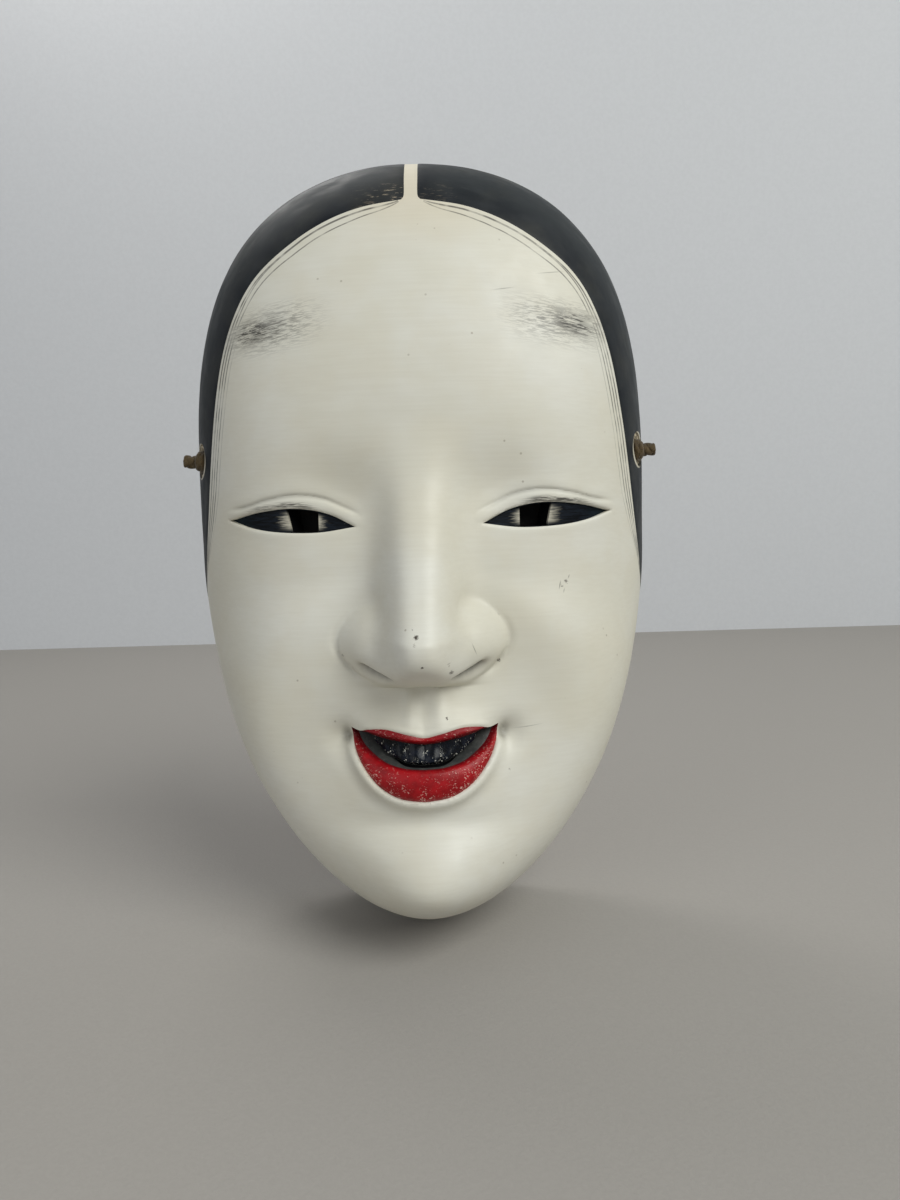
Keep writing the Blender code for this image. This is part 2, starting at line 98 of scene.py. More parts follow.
EYE_UPPER = [(16.5, 111.6), (23.9, 115.2), (32.5, 116.6), (42.4, 115.8), (51.4, 113.8)]
EYE_LOWER = [(51.4, 113.8), (45.5, 111.9), (39.5, 110.8), (32.4, 110.3), (25.0, 110.4), (16.5, 111.6)]
CREASE = [(13.5, 113.9), (19.3, 116.6), (25.0, 119.1), (32.3, 120.0), (40.2, 118.9), (45.3, 117.5),
          (52.5, 116.2)]
PUPIL_INNER = 26.1
PUPIL_OUTER = (34.7, 33.4)  # at its top and at its bottom
MOUTH_TOP = [(0.0, 58.3), (1.2, 58.45), (4.4, 59.3), (9.6, 60.5), (14.1, 60.2), (16.6, 59.6), (19.1, 60.1)]
MOUTH_BOTTOM = [(19.1, 60.1), (18.3, 56.0), (15.9, 51.2), (11.8, 46.7), (6.5, 43.9), (0.0, 43.0)]
UPPER_LIP_END = 16.2
UPPER_LIP_BASE = [(0.0, 56.8), (4.0, 57.0), (8.6, 57.6), (12.8, 58.5)]
LOWER_LIP_EDGE = [(0.0, 51.3), (5.5, 51.6), (10.6, 52.7), (14.6, 54.7), (17.1, 56.5), (18.4, 58.2),
                  (19.1, 60.1)]
TEETH_TOP = [(0.0, 58.0), (5.0, 58.2), (10.0, 58.9), (14.2, 59.3)]
TEETH_BOTTOM = [(14.2, 59.3), (14.3, 57.2), (12.4, 55.9), (9.6, 54.6), (5.0, 53.6), (0.0, 53.4)]
SLOT_TOP = [(0.0, 53.2), (5.0, 53.4), (9.4, 54.3)]
SLOT_BOTTOM = [(9.4, 54.3), (5.2, 52.4), (0.0, 52.1)]
HAIRLINE = [(1.8, 211.6), (1.8, 204.0), (1.8, 197.9), (2.5, 196.5), (13.9, 194.5), (23.9, 190.6),
            (33.9, 184.3),
            (42.2, 177.1), (47.9, 167.9), (52.0, 156.1), (55.2, 139.6), (58.9, 116.0), (61.5, 101.0),
            (63.6, 88.0)]
HAIR_CORNER = 3  # index of the hairline's corner beside the parting
TOOTH_EDGES = (0.0, 4.9, 9.0, 12.2, 14.4)
TEETH_BACK = 5.2
SIDES = ("right_", "left_")

# Strands drawn beside the hairline: distance from it at the top and lower down, and how slowly it opens.
STRANDS = {"a": (1.2, 0.8, 4.0), "b": (1.35, 1.65, 4.0), "c": (3.3, 2.5, 5.5), "d": (4.2, 3.5, 6.0)}
STRAND_LENGTH = 148.0

# Spacing of the meshes' points.
WIDE_STEP = 1.5
NEAR_STEP = 0.8
FINE_STEP = 0.46
LINE_STEP = 0.5
NEAR_BOX = ((-27.0, 38.0), (27.0, 100.0))
FINE_BOXES = [((14.5, 108.0), (53.5, 121.8)), ((-53.5, 108.0), (-14.5, 121.8)), ((-22.8, 40.5), (22.8, 62.6)),
              ((4.0, 70.0), (24.0, 80.0)), ((-24.0, 70.0), (-4.0, 80.0))]
FAR = 99.0
SHARP = math.radians(42.0)

# The stage: a wall behind, in metres, and the black painted-shade cards behind the pupils, in millimetres.
WALL_Y = 0.5
CARD_MARGIN = 1.5
CARD_GAP = 1.2


# ---- Shapes that repeat the CAD part ----


def smooth_step(t):
    t = np.clip(t, 0.0, 1.0)
    return t * t * (3.0 - 2.0 * t)


def hill(x, z, centre, radii, power=2.0):
    """A soft bump of height 1."""
    across = (x - centre[0]) / radii[0]
    up = (z - centre[1]) / radii[1]
    return np.exp(-((across**2 + up**2) ** (power / 2.0)))


def join(a, b, width):
    """The higher of two surfaces, with the seam between them rounded."""
    h = np.clip(0.5 + 0.5 * (a - b) / width, 0.0, 1.0)
    return a * h + b * (1.0 - h) + width * h * (1.0 - h)


def rim_shape(angle):
    top = np.sin(angle) > 0
    high = np.where(top, TOP_HEIGHT, CHIN_HEIGHT)
    power_x = np.where(top, TOP_POWERS[0], CHIN_POWERS[0])
    power_z = np.where(top, TOP_POWERS[1], CHIN_POWERS[1])
    return high, power_x, power_z


def rim_radius(angle):
    """Distance from the middle of the widest level to the rim, by halving."""
    high_side, power_x, power_z = rim_shape(angle)
    across = np.abs(np.cos(angle)) / HALF_WIDTH
    up = np.abs(np.sin(angle)) / high_side
    low = np.full_like(across, 50.0)
    high = np.full_like(across, 130.0)
    for _ in range(36):
        middle = 0.5 * (low + high)
        outside = (middle * across) ** power_x + (middle * up) ** power_z > 1.0
        high = np.where(outside, middle, high)
        low = np.where(outside, low, middle)
    return low


def rim_normal(angle):
    """The direction out of the rim's outline, in its own plane."""
    radius = rim_radius(angle)
    high, power_x, power_z = rim_shape(angle)
    x = radius * np.cos(angle)
    z = radius * np.sin(angle)
    across = np.sign(x) * power_x / HALF_WIDTH * (np.abs(x) / HALF_WIDTH) ** (power_x - 1.0)
    up = np.sign(z) * power_z / high * (np.abs(z) / high) ** (power_z - 1.0)
    length = np.hypot(across, up)
    return across / length, up / length


def unfold(points):
    """Places in the layout plane of points given as x, z on the mask."""
    x, z = np.asarray(points, float).reshape(-1, 2).T
    z = z - CENTRE_Z
    angle = np.arctan2(z, x)
    radius = rim_radius(angle)
    spread = np.arcsin(np.clip(np.hypot(x, z) / radius, 0.0, 1.0)) * radius
    return np.stack([spread * np.cos(angle), spread * np.sin(angle)], axis=1)


def fold(net):
    """x, z, share of the way to the rim, and direction of points of the layout plane."""
    angle = np.arctan2(net[:, 1], net[:, 0])
    radius = rim_radius(angle)
    turn = np.clip(np.hypot(net[:, 0], net[:, 1]) / radius, 0.0, math.pi / 2.0)
    share = np.sin(turn)
    x = share * radius * np.cos(angle)
    z = CENTRE_Z + share * radius * np.sin(angle)
    return x, z, share, angle


def base_depth(share, angle):
    down = smooth_step(-np.sin(angle)) ** 2
    power = DOME_POWER_SIDE + (DOME_POWER_CHIN - DOME_POWER_SIDE) * down
    return DOME * np.sqrt(np.clip(1.0 - share**power, 0.0, None))


def broad_relief(x, z):
    """The soft masses of the face: forehead, cheeks, jaw and chin."""
    side = np.abs(x)
    relief = 2.0 * hill(side, z, (0.0, 150.0), (34.0, 30.0))
    relief += 1.6 * hill(side, z, (36.0, 88.0), (17.0, 15.0))
    relief -= 2.6 * hill(side, z, (21.0, 120.0), (11.0, 10.0))
    relief += 7.0 * hill(side, z, (0.0, 57.0), (23.0, 21.0))
    relief += JAW * hill(side, z, (0.0, 28.0), (29.0, 22.0))
    relief += CHIN * hill(side, z, (0.0, CHIN_Z), (19.0, 13.0))
    return relief


def nose_relief(x, z):
    """The ridge, which widens to a round tip, blended with the two wings."""
    side = np.abs(x)
    length = np.clip((139.0 - z) / 55.0, 0.0, 1.0)
    under = np.clip(1.0 - (np.clip(84.0 - z, 0.0, None) / 13.6) ** 2, 0.0, None)
    tip = 23.6 * length**1.4 * under * (1.6 - 0.6 * under)
    ridge = tip * np.exp(-((side / (9.6 + 1.6 * length**2)) ** 2.8))
    reach = np.where(z > 81.0, 15.0, 10.6)
    full = np.clip(1.0 - (side / 22.3) ** 2 - ((z - 81.0) / reach) ** 2, 0.0, None)
    wings = 12.5 * full * (1.6 - 0.6 * full)
    return join(ridge, wings, 5.0) - join(0.0, 0.0, 5.0)


def mouth_relief(x, z):
    side = np.abs(x)
    relief = 2.6 * hill(side, z, (0.0, 48.8), (15.0, 6.0), 3.0)
    relief += 1.6 * hill(side, z, (7.0, 60.5), (9.0, 3.5))
    relief -= 2.8 * hill(side, z, (20.8, 57.8), (4.2, 4.0))
    relief -= 3.0 * hill(side, z, (0.0, 36.0), (16.0, 4.5))
    relief -= 0.8 * hill(side, z, (0.0, 67.0), (2.4, 5.0))
    return relief


def surface(net):
    """Points of the finished face over the layout plane."""
    x, z, share, angle = fold(net)
    inside = np.sqrt(np.clip(1.0 - share**RELIEF_POWER, 0.0, None))
    relief = broad_relief(x, z) + mouth_relief(x, z) + nose_relief(x, z)
    depth = base_depth(share, angle) + inside * relief
    return np.stack([x, -depth, z], axis=1)


def hollow(net):
    """Points of the carved back over the layout plane."""
    x, z, share, angle = fold(net)
    across, up = rim_normal(angle)
    depth = base_depth(share, angle) * (1.0 - (WOOD / DOME) * (1.0 - share**6))
    inside = np.sqrt(np.clip(1.0 - share**6, 0.0, None))
    depth = depth + inside * 0.75 * broad_relief(x, z)
    depth = depth + 9.0 * hill(x, z, (0.0, 86.0), (10.0, 14.0))
    x_in = x - WALL * across * share**2
    z_in = z - WALL * up * share**2
    return np.stack([x_in, -depth, z_in], axis=1)


def outward(net, at_rim):
    """Outward directions of the face's surface; on the rim they lie in the rim's plane."""
    step = 0.05
    radius = rim_radius(np.arctan2(net[:, 1], net[:, 0]))
    reach = np.hypot(net[:, 0], net[:, 1]) / (radius * math.pi / 2.0)
    near = net * np.minimum(1.0, 0.998 / np.maximum(reach, 1e-6))[:, None]
    along = surface(near + (step, 0.0)) - surface(near - (step, 0.0))
    up = surface(near + (0.0, step)) - surface(near - (0.0, step))
    direction = np.cross(along, up)
    direction[at_rim, 1] = 0.0
    return direction / np.linalg.norm(direction, axis=1)[:, None]


# ---- Lines ----


def smooth_line(points, step):
    """Points about a step apart along a smooth curve through the given ones."""
    given = np.asarray(points, float)
    padded = np.vstack([2 * given[0] - given[1], given, 2 * given[-1] - given[-2]])
    line = []
    for before, start, end, after in zip(padded, padded[1:], padded[2:], padded[3:]):
        pieces = max(1, round(float(np.linalg.norm(end - start)) / step))
        for t in np.arange(pieces) / pieces:
            bend = 2 * before - 5 * start + 4 * end - after
            twist = 3 * start - before - 3 * end + after
            line.append(0.5 * (2 * start + (end - before) * t + bend * t**2 + twist * t**3))
    line.append(given[-1])
    return np.array(line)


def mirrored(points):
    return np.asarray(points)[::-1] * (-1.0, 1.0)


def height_on(line, x):
    """Height of a drawn line at places across the face."""
    drawn = smooth_line(line, LINE_STEP)
    drawn = drawn[np.argsort(drawn[:, 0])]
    return np.interp(np.abs(x), drawn[:, 0], drawn[:, 1])


def distance_along(x, z, line, most):
    """Distance to a line on the right half, and how far along it the nearest place is."""
    drawn = smooth_line(line, 0.15)
    tree = KDTree(len(drawn))
    for index, (a, b) in enumerate(drawn):
        tree.insert((a, b, 0.0), index)
    tree.balance()
    run = np.concatenate([[0.0], np.cumsum(np.linalg.norm(np.diff(drawn, axis=0), axis=1))])
    distance = np.full(len(x), FAR)
    along = np.zeros(len(x))
    side = np.abs(x)
    low, high = drawn.min(axis=0) - most, drawn.max(axis=0) + most
    near = (side > low[0]) & (side < high[0]) & (z > low[1]) & (z < high[1])
    for index in np.flatnonzero(near):
        _, nearest, gap = tree.find((side[index], z[index], 0.0))
        distance[index] = gap
        along[index] = run[nearest]
    return distance, along


def inside_loop(points, outline):
    """Which of the points are inside a closed outline."""
    found = np.zeros(len(points), bool)
    low, high = outline.min(axis=0), outline.max(axis=0)
    near = np.flatnonzero(((points >= low) & (points <= high)).all(axis=1))
    x0, y0 = outline[:, 0], outline[:, 1]
    x1, y1 = np.roll(x0, -1), np.roll(y0, -1)
    run = np.where(y1 == y0, 1.0, y1 - y0)
    for part in np.array_split(near, max(1, len(near) // 4000)):
        x, y = points[part, :1], points[part, 1:]
        crosses = ((y0 > y) != (y1 > y)) & (x < (x1 - x0) * (y - y0) / run + x0)
        found[part] = crosses.sum(axis=1) % 2 == 1
    return found


# ---- The layout that all the painted layers and the wood share ----


def rim_points(angles):
    """Points on the rim in the layout plane."""
    radius = rim_radius(angles) * math.pi / 2.0
    return np.stack([radius * np.cos(angles), radius * np.sin(angles)], axis=1)


def hole_centre():
    """Place of the right cord hole in the layout plane: at its height and its depth."""
    low, high = 50.0, HALF_WIDTH
    for _ in range(40):
        x = 0.5 * (low + high)
        depth = -surface(unfold([(x, HOLE_Z)]))[0, 1]
        low, high = (x, high) if depth > HOLE_DEPTH else (low, x)
    return unfold([(x, HOLE_Z)])[0]


def round_hole(centre, radius, sides):
    """A circle of a real radius on the face, drawn in the layout plane."""
    step = 0.2
    here, out, up = surface(np.array([centre, centre - (step, 0.0), centre + (0.0, step)]))
    rates = np.linalg.norm(out - here) / step, np.linalg.norm(up - here) / step
    angle = np.arange(sides) * 2.0 * math.pi / sides
    ring = np.stack([np.cos(angle) / rates[0], np.sin(angle) / rates[1]], axis=1)
    return centre + radius * ring


def spaced_grid(step, low, high):
    """Points of a triangular grid that fills a box."""
    rows = np.arange(low[1], high[1], step * math.sqrt(0.75))
    columns = np.arange(low[0], high[0], step)
    x = columns[None, :] + 0.5 * step * (np.arange(len(rows)) % 2)[:, None]
    z = np.broadcast_to(rows[:, None], x.shape)
    return np.stack([x.ravel(), z.ravel()], axis=1)


def symmetric(line):
    """A line from the middle outwards, with its mirror image before it."""
    return np.vstack([mirrored(line)[:-1], line])


def mouth_loops():
    """Loops of the upper lip, the lower lip and the opening between them, as x, z."""
    top = smooth_line(MOUTH_TOP, LINE_STEP)
    end = int(np.argmax(top[:, 0] > UPPER_LIP_END))
    base = smooth_line(UPPER_LIP_BASE + [tuple(top[end])], LINE_STEP)
    lower = smooth_line(LOWER_LIP_EDGE, LINE_STEP)
    bottom = smooth_line(MOUTH_BOTTOM, LINE_STEP)[::-1]
    upper_lip = np.vstack([symmetric(top[: end + 1]), symmetric(base)[::-1][1:-1]])
    over = np.vstack([base, top[end + 1 :]])
    opening = np.vstack([symmetric(over), symmetric(lower)[::-1][1:-1]])
    lower_lip = np.vstack([symmetric(lower), symmetric(bottom)[::-1][1:-1]])
    return upper_lip, lower_lip, opening


def eye_loop():
    upper = smooth_line(EYE_UPPER, LINE_STEP)
    return np.vstack([upper[:-1], smooth_line(EYE_LOWER, LINE_STEP)[:-1]])


def pupil_loop():
    """The hole cut through the eye, from lid to lid."""
    corners = []
    for x, line, inset in ((PUPIL_INNER, EYE_LOWER, 0.2), (PUPIL_OUTER[1], EYE_LOWER, 0.2),
                           (PUPIL_OUTER[0], EYE_UPPER, -0.2), (PUPIL_INNER, EYE_UPPER, -0.2)):
        corners.append((x, float(height_on(line, x)) + inset))
    sides = []
    for start, end in zip(corners, corners[1:] + corners[:1]):
        steps = np.arange(0.0, 1.0, 0.06)[:, None]
        side = np.array(start) * (1.0 - steps) + np.array(end) * steps
        sides.append(side)
    upper = sides[2]
    upper[:, 1] = height_on(EYE_UPPER, upper[:, 0]) - 0.2
    lower = sides[0]
    lower[:, 1] = height_on(EYE_LOWER, lower[:, 0]) + 0.2
    return np.vstack(sides)


def flat_loop(upper, lower):
    top = smooth_line(upper, LINE_STEP)
    bottom = smooth_line(lower, LINE_STEP)[::-1]
    return np.vstack([symmetric(top), symmetric(bottom)[::-1][1:-1]])


def hair_edge():
    """The right hairline in the layout plane, from rim to rim."""
    corner = HAIR_CORNER
    parting = smooth_line(HAIRLINE[: corner + 1], LINE_STEP)
    rest = smooth_line(HAIRLINE[corner:], 1.0)
    line = unfold(np.vstack([parting[:-1], rest]))
    ends = rim_points(np.arctan2(line[[0, -1], 1], line[[0, -1], 0]))
    return np.vstack([ends[:1], line, ends[1:]])


def layout_outlines():
    """Every closed outline by name, in the layout plane."""
    upper_lip, lower_lip, opening = mouth_loops()
    centre = hole_centre()
    edge = hair_edge()
    start, end = np.arctan2(edge[[0, -1], 1], edge[[0, -1], 0])
    outlines = {
        "upper_lip": unfold(upper_lip),
        "lower_lip": unfold(lower_lip),
        "opening": unfold(opening),
        "teeth": unfold(flat_loop(TEETH_TOP, TEETH_BOTTOM)),
        "slot": unfold(flat_loop(SLOT_TOP, SLOT_BOTTOM)),
    }
    right = {
        "hair": np.vstack([edge, 1.1 * rim_points(np.linspace(end, start, 60))]),
        "eye": unfold(eye_loop()),
        "pupil": unfold(pupil_loop()),
        "chamfer": round_hole(centre, CHAMFER_RADIUS, 48),
        "cord_hole": round_hole(centre, HOLE_RADIUS, 48),
    }
    for name, outline in right.items():
        outlines["right_" + name] = outline
        outlines["left_" + name] = mirrored(outline)
    return outlines


def grid_points():
    """Evenly spaced points in the layout plane, closer together where the face has detail."""
    rim = rim_points(np.linspace(-math.pi, math.pi, 400))
    near_low, near_high = unfold(NEAR_BOX)
    wide = spaced_grid(WIDE_STEP, rim.min(axis=0), rim.max(axis=0))
    wide = wide[inside_loop(wide, 0.99 * rim)]
    near = spaced_grid(NEAR_STEP, near_low, near_high)
    wide = wide[~((wide > near_low) & (wide < near_high)).all(axis=1)]
    grids = []
    for low, high in FINE_BOXES:
        corners = unfold([low, high])
        low, high = corners.min(axis=0), corners.max(axis=0)
        grids.append(spaced_grid(FINE_STEP, low, high))
        margin = 0.35 * FINE_STEP
        wide = wide[~((wide > low - margin) & (wide < high + margin)).all(axis=1)]
        near = near[~((near > low - margin) & (near < high + margin)).all(axis=1)]
    return np.vstack([wide, near] + grids)


def triangulate(outlines):
    """The layout's points and triangles, and which of the points are on the rim."""
    edges = [hair_edge(), mirrored(hair_edge())]
    ends = np.vstack([line[[0, -1]] for line in edges])
    met = np.arctan2(ends[:, 1], ends[:, 0])
    even = np.arange(-math.pi, math.pi - 1e-9, 2.0 * math.pi / 420.0)
    even = even[np.abs(even[:, None] - met).min(axis=1) > 0.005]
    rim = rim_points(np.sort(np.concatenate([met, even])))
    loops = [outline for name, outline in outlines.items() if not name.endswith("hair")]
    lines = [(rim, True)] + [(line, False) for line in edges] + [(line, True) for line in loops]
    points, links = [], []
    for line, closed in lines:
        first = len(points)
        points.extend(map(tuple, line))
        links += [(first + i, first + i + 1) for i in range(len(line) - 1)]
        if closed:
            links.append((len(points) - 1, first))
    tree = KDTree(len(points))
    for index, (a, b) in enumerate(points):
        tree.insert((a, b, 0.0), index)
    tree.balance()
    points.extend(tuple(p) for p in grid_points() if tree.find((p[0], p[1], 0.0))[2] > 0.6 * FINE_STEP)
    made = delaunay_2d_cdt(points, links, [], 0, 1e-5)
    net = np.array([tuple(p) for p in made[0]])
    triangles = np.array(made[2])
    keep = inside_loop(net[triangles].mean(axis=1), rim)
    a, b, c = net[triangles].transpose(1, 0, 2)
    turn = (b - a)[:, 0] * (c - a)[:, 1] - (b - a)[:, 1] * (c - a)[:, 0]
    triangles = np.where(turn[:, None] > 0, triangles, triangles[:, ::-1])
    radius = rim_radius(np.arctan2(net[:, 1], net[:, 0])) * math.pi / 2.0
    at_rim = np.hypot(net[:, 0], net[:, 1]) > radius - 1e-3
    return net, triangles[keep & (np.abs(turn) > 1e-8)], at_rim


# ---- Carving finer than the CAD part has ----


def window(value, low, high, soft):
    """1 between two limits, falling smoothly to 0 outside them."""
    return smooth_step((value - low) / soft + 1.0) * smooth_step((high - value) / soft + 1.0)


def lid_carving(x, z, gap):
    """The crease above each eye, the full lid below it and the rolled edges of the lids."""
    side = np.abs(x)
    upper = height_on(EYE_UPPER, x)
    lower = height_on(EYE_LOWER, x)
    crease = height_on(CREASE, x)
    across = window(side, 18.0, 48.0, 5.0)
    share = np.clip((z - upper) / np.maximum(crease - upper, 0.5), 0.0, 1.0)
    shape = 0.36 * np.sin(math.pi * share) * across
    shape -= 0.3 * np.exp(-(((z - crease) / 0.5) ** 2)) * window(side, 20.0, 47.0, 6.0)
    shape += 0.12 * np.exp(-(((z - crease - 1.9) / 1.6) ** 2)) * across
    shape += 0.06 * np.exp(-(((z - lower + 1.2) / 1.1) ** 2)) * across
    return shape - 0.28 * np.clip(1.0 - gap / 0.5, 0.0, 1.0) ** 2


def nostril_place(x, z):
    """Places along and across the slit of a nostril."""
    turn = math.radians(25.0)
    along = (np.abs(x) - 12.1) * math.cos(turn) + (z - 74.5) * math.sin(turn)
    across = -(np.abs(x) - 12.1) * math.sin(turn) + (z - 74.5) * math.cos(turn)
    return along, across - 0.05 * along**2 * 0.4


def nose_carving(x, z):
    """Nostril slits and the crease round each wing."""
    along, across = nostril_place(x, z)
    slit = np.exp(-((along / 4.4) ** 4)) * np.exp(-((across / 0.85) ** 2))
    shape = -2.6 * slit
    shape += 0.35 * np.exp(-((along / 5.2) ** 4)) * np.exp(-(((across + 2.0) / 0.9) ** 2))
    side = np.abs(x)
    shape -= 0.9 * hill(side, z, (11.5, 91.0), (2.6, 4.5)) * smooth_step((side - 5.0) / 5.0)
    reach = np.hypot(side / 22.6, (z - 82.5) / 12.8)
    outer = smooth_step((side - 14.0) / 5.0) * smooth_step((91.0 - z) / 8.0)
    shape -= 0.45 * np.exp(-(((reach - 1.0) / 0.045) ** 2)) * outer
    return shape


def mouth_carving(x, z, lip_gap, outside):
    """Philtrum, the ridge over the upper lip and the pale raised rim under the lower lip."""
    side = np.abs(x)
    shape = 0.45 * hill(side, z, (4.0, 65.0), (1.5, 4.5)) - 0.35 * hill(side, z, (0.0, 65.0), (1.7, 4.5))
    shape -= 0.8 * hill(side, z, (20.4, 58.0), (1.5, 2.0))
    above = smooth_step((z - 57.5) / 1.5) * smooth_step((17.5 - side) / 3.0)
    ridge = 0.3 * np.exp(-(((lip_gap - 0.7) / 0.7) ** 2)) * above
    below = smooth_step((58.5 - z) / 5.0)
    swell = 0.85 * np.exp(-(((lip_gap - 1.1) / 1.5) ** 2)) - 0.22 * np.exp(-(((lip_gap - 4.4) / 1.9) ** 2))
    return shape + np.where(outside, ridge + swell * below, 0.0)


def lip_carving(gap_outer, gap_inner):
    """Full lips, rolled towards the opening."""
    share = gap_outer / np.maximum(gap_outer + gap_inner, 0.1)
    full = 0.42 * (1.0 - (2.0 * share - 0.9) ** 2)
    return full + 0.2 - 1.1 * np.clip(1.0 - gap_inner / 1.5, 0.0, 1.0) ** 2


def hand_carving(x, z):
    """Slow unevenness left by the knife and the brush."""
    wave = np.sin(x / 7.1 + 0.9 * np.sin(z / 11.3)) * np.sin(z / 8.7 + 1.1 * np.sin(x / 13.7))
    fine = np.sin(x / 3.3 + 1.7 * np.sin(z / 5.9)) * np.sin(z / 3.9 + 1.3 * np.sin(x / 4.7))
    return 0.055 * wave + 0.018 * fine


def gouge_marks(x, z):
    """Scallops of a gouge worked down the hollow of the back."""
    wander = 1.5 * np.sin(z / 17.0) + 0.9 * np.sin(z / 7.3 + x / 19.0)
    row = (x + wander) / 7.6
    column = np.floor(row)
    stroke = (z + 11.0 * np.sin(2.4 * column)) / 21.0
    across = np.abs(2.0 * (row - column) - 1.0)
    along = np.abs(2.0 * (stroke - np.floor(stroke)) - 1.0)
    return 0.42 * (1.0 - across**2) + 0.22 * (1.0 - along**2)


# ---- Meshes ----


def new_object(name, data, finish, body, nodes):
    """Puts a piece in the scene, on its body and in place of its CAD nodes."""
    data.materials.append(finish)
    made = bpy.data.objects.new(name, data)
    bpy.context.scene.collection.objects.link(made)
    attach(made, body)
    if nodes:
        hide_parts(*nodes)
    return made


def layer_mesh(name, triangles, top, bottom, fields):
    """A closed solid between two surfaces over the same triangles of the layout."""
    used, faces = np.unique(triangles, return_inverse=True)
    faces = faces.reshape(-1, 3)
    count = len(used)
    sides = np.concatenate([faces[:, [0, 1]], faces[:, [1, 2]], faces[:, [2, 0]]])
    lone = ~np.isin(sides[:, 0] * count + sides[:, 1], sides[:, 1] * count + sides[:, 0])
    edge = sides[lone]
    walls = np.stack([edge[:, 1], edge[:, 0], edge[:, 0] + count, edge[:, 1] + count], axis=1)
    verts = (np.vstack([top[used], bottom[used]]) - (0.0, 0.0, ORIGIN_Z)) * MM
    mesh = bpy.data.meshes.new(name)
    mesh.from_pydata(verts.tolist(), [], faces.tolist() + (faces[:, ::-1] + count).tolist() + walls.tolist())
    mesh.shade_smooth()
    mesh.set_sharp_from_angle(angle=SHARP)
    for field, values in fields.items():
        attribute = mesh.attributes.new(field, "FLOAT", "POINT")
        attribute.data.foreach_set("value", np.tile(values[used], 2).astype(np.float32))
    return mesh


def braid_height(turn, run):
    """Height of a round braid's surface, from 0 to 1."""
    strands = 3.0
    pitch = 2.9
    left = strands * turn / (2.0 * math.pi) + run / pitch
    right = strands * turn / (2.0 * math.pi) - run / pitch
    over = (np.floor(left) + np.floor(right)) % 2.0 < 0.5
    a = np.abs(np.sin(math.pi * left))
    b = np.abs(np.sin(math.pi * right))
    return np.where(over, a, b)


def braided_tube(path, radius, step, around):
    """Vertices and faces of a braided cord along a path, closed by rounded ends."""
    given = np.asarray(path, float)
    run = np.concatenate([[0.0], np.cumsum(np.linalg.norm(np.diff(given, axis=0), axis=1))])
    places = np.linspace(0.0, run[-1], max(4, int(run[-1] / step)))
    line = np.stack([np.interp(places, run, given[:, axis]) for axis in range(3)], axis=1)
    along = np.gradient(line, axis=0)
    along /= np.linalg.norm(along, axis=1)[:, None]
    side = np.cross(along[0], (0.3, 0.9, 0.1))
    turn = np.arange(around) * 2.0 * math.pi / around
    verts = []
    for place, centre, direction in zip(places, line, along):
        side = side - direction * (side @ direction)
        side /= np.linalg.norm(side)
        other = np.cross(direction, side)
        end = min(place, run[-1] - place)
        round_off = math.sqrt(max(0.0, 1.0 - max(0.0, 1.0 - end / (0.35 * radius)) ** 2))
        height = radius * (0.8 + 0.24 * braid_height(turn, place)) * (0.55 + 0.45 * round_off)
        ring = np.cos(turn)[:, None] * side + np.sin(turn)[:, None] * other
        verts.append(centre + height[:, None] * ring)
    rings = len(verts)
    faces = []
    for ring in range(rings - 1):
        a = ring * around
        for i in range(around):
            j = (i + 1) % around
            faces.append((a + i, a + j, a + around + j, a + around + i))
    verts = np.vstack(verts + [line[:1], line[-1:]])
    first, last = rings * around, rings * around + 1
    for i in range(around):
        j = (i + 1) % around
        faces.append((first, j, i))
        faces.append((last, (rings - 1) * around + i, (rings - 1) * around + j))
    return verts, faces


def tubes_mesh(name, tubes):
    verts, faces = [], []
    for points, sides in tubes:
        first = len(verts)
        verts.extend(((points - (0.0, 0.0, ORIGIN_Z)) * MM).tolist())
        faces += [tuple(first + i for i in face) for face in sides]
    mesh = bpy.data.meshes.new(name)
    mesh.from_pydata(verts, [], faces)
    mesh.shade_smooth()
    return mesh


# ---- Materials ----


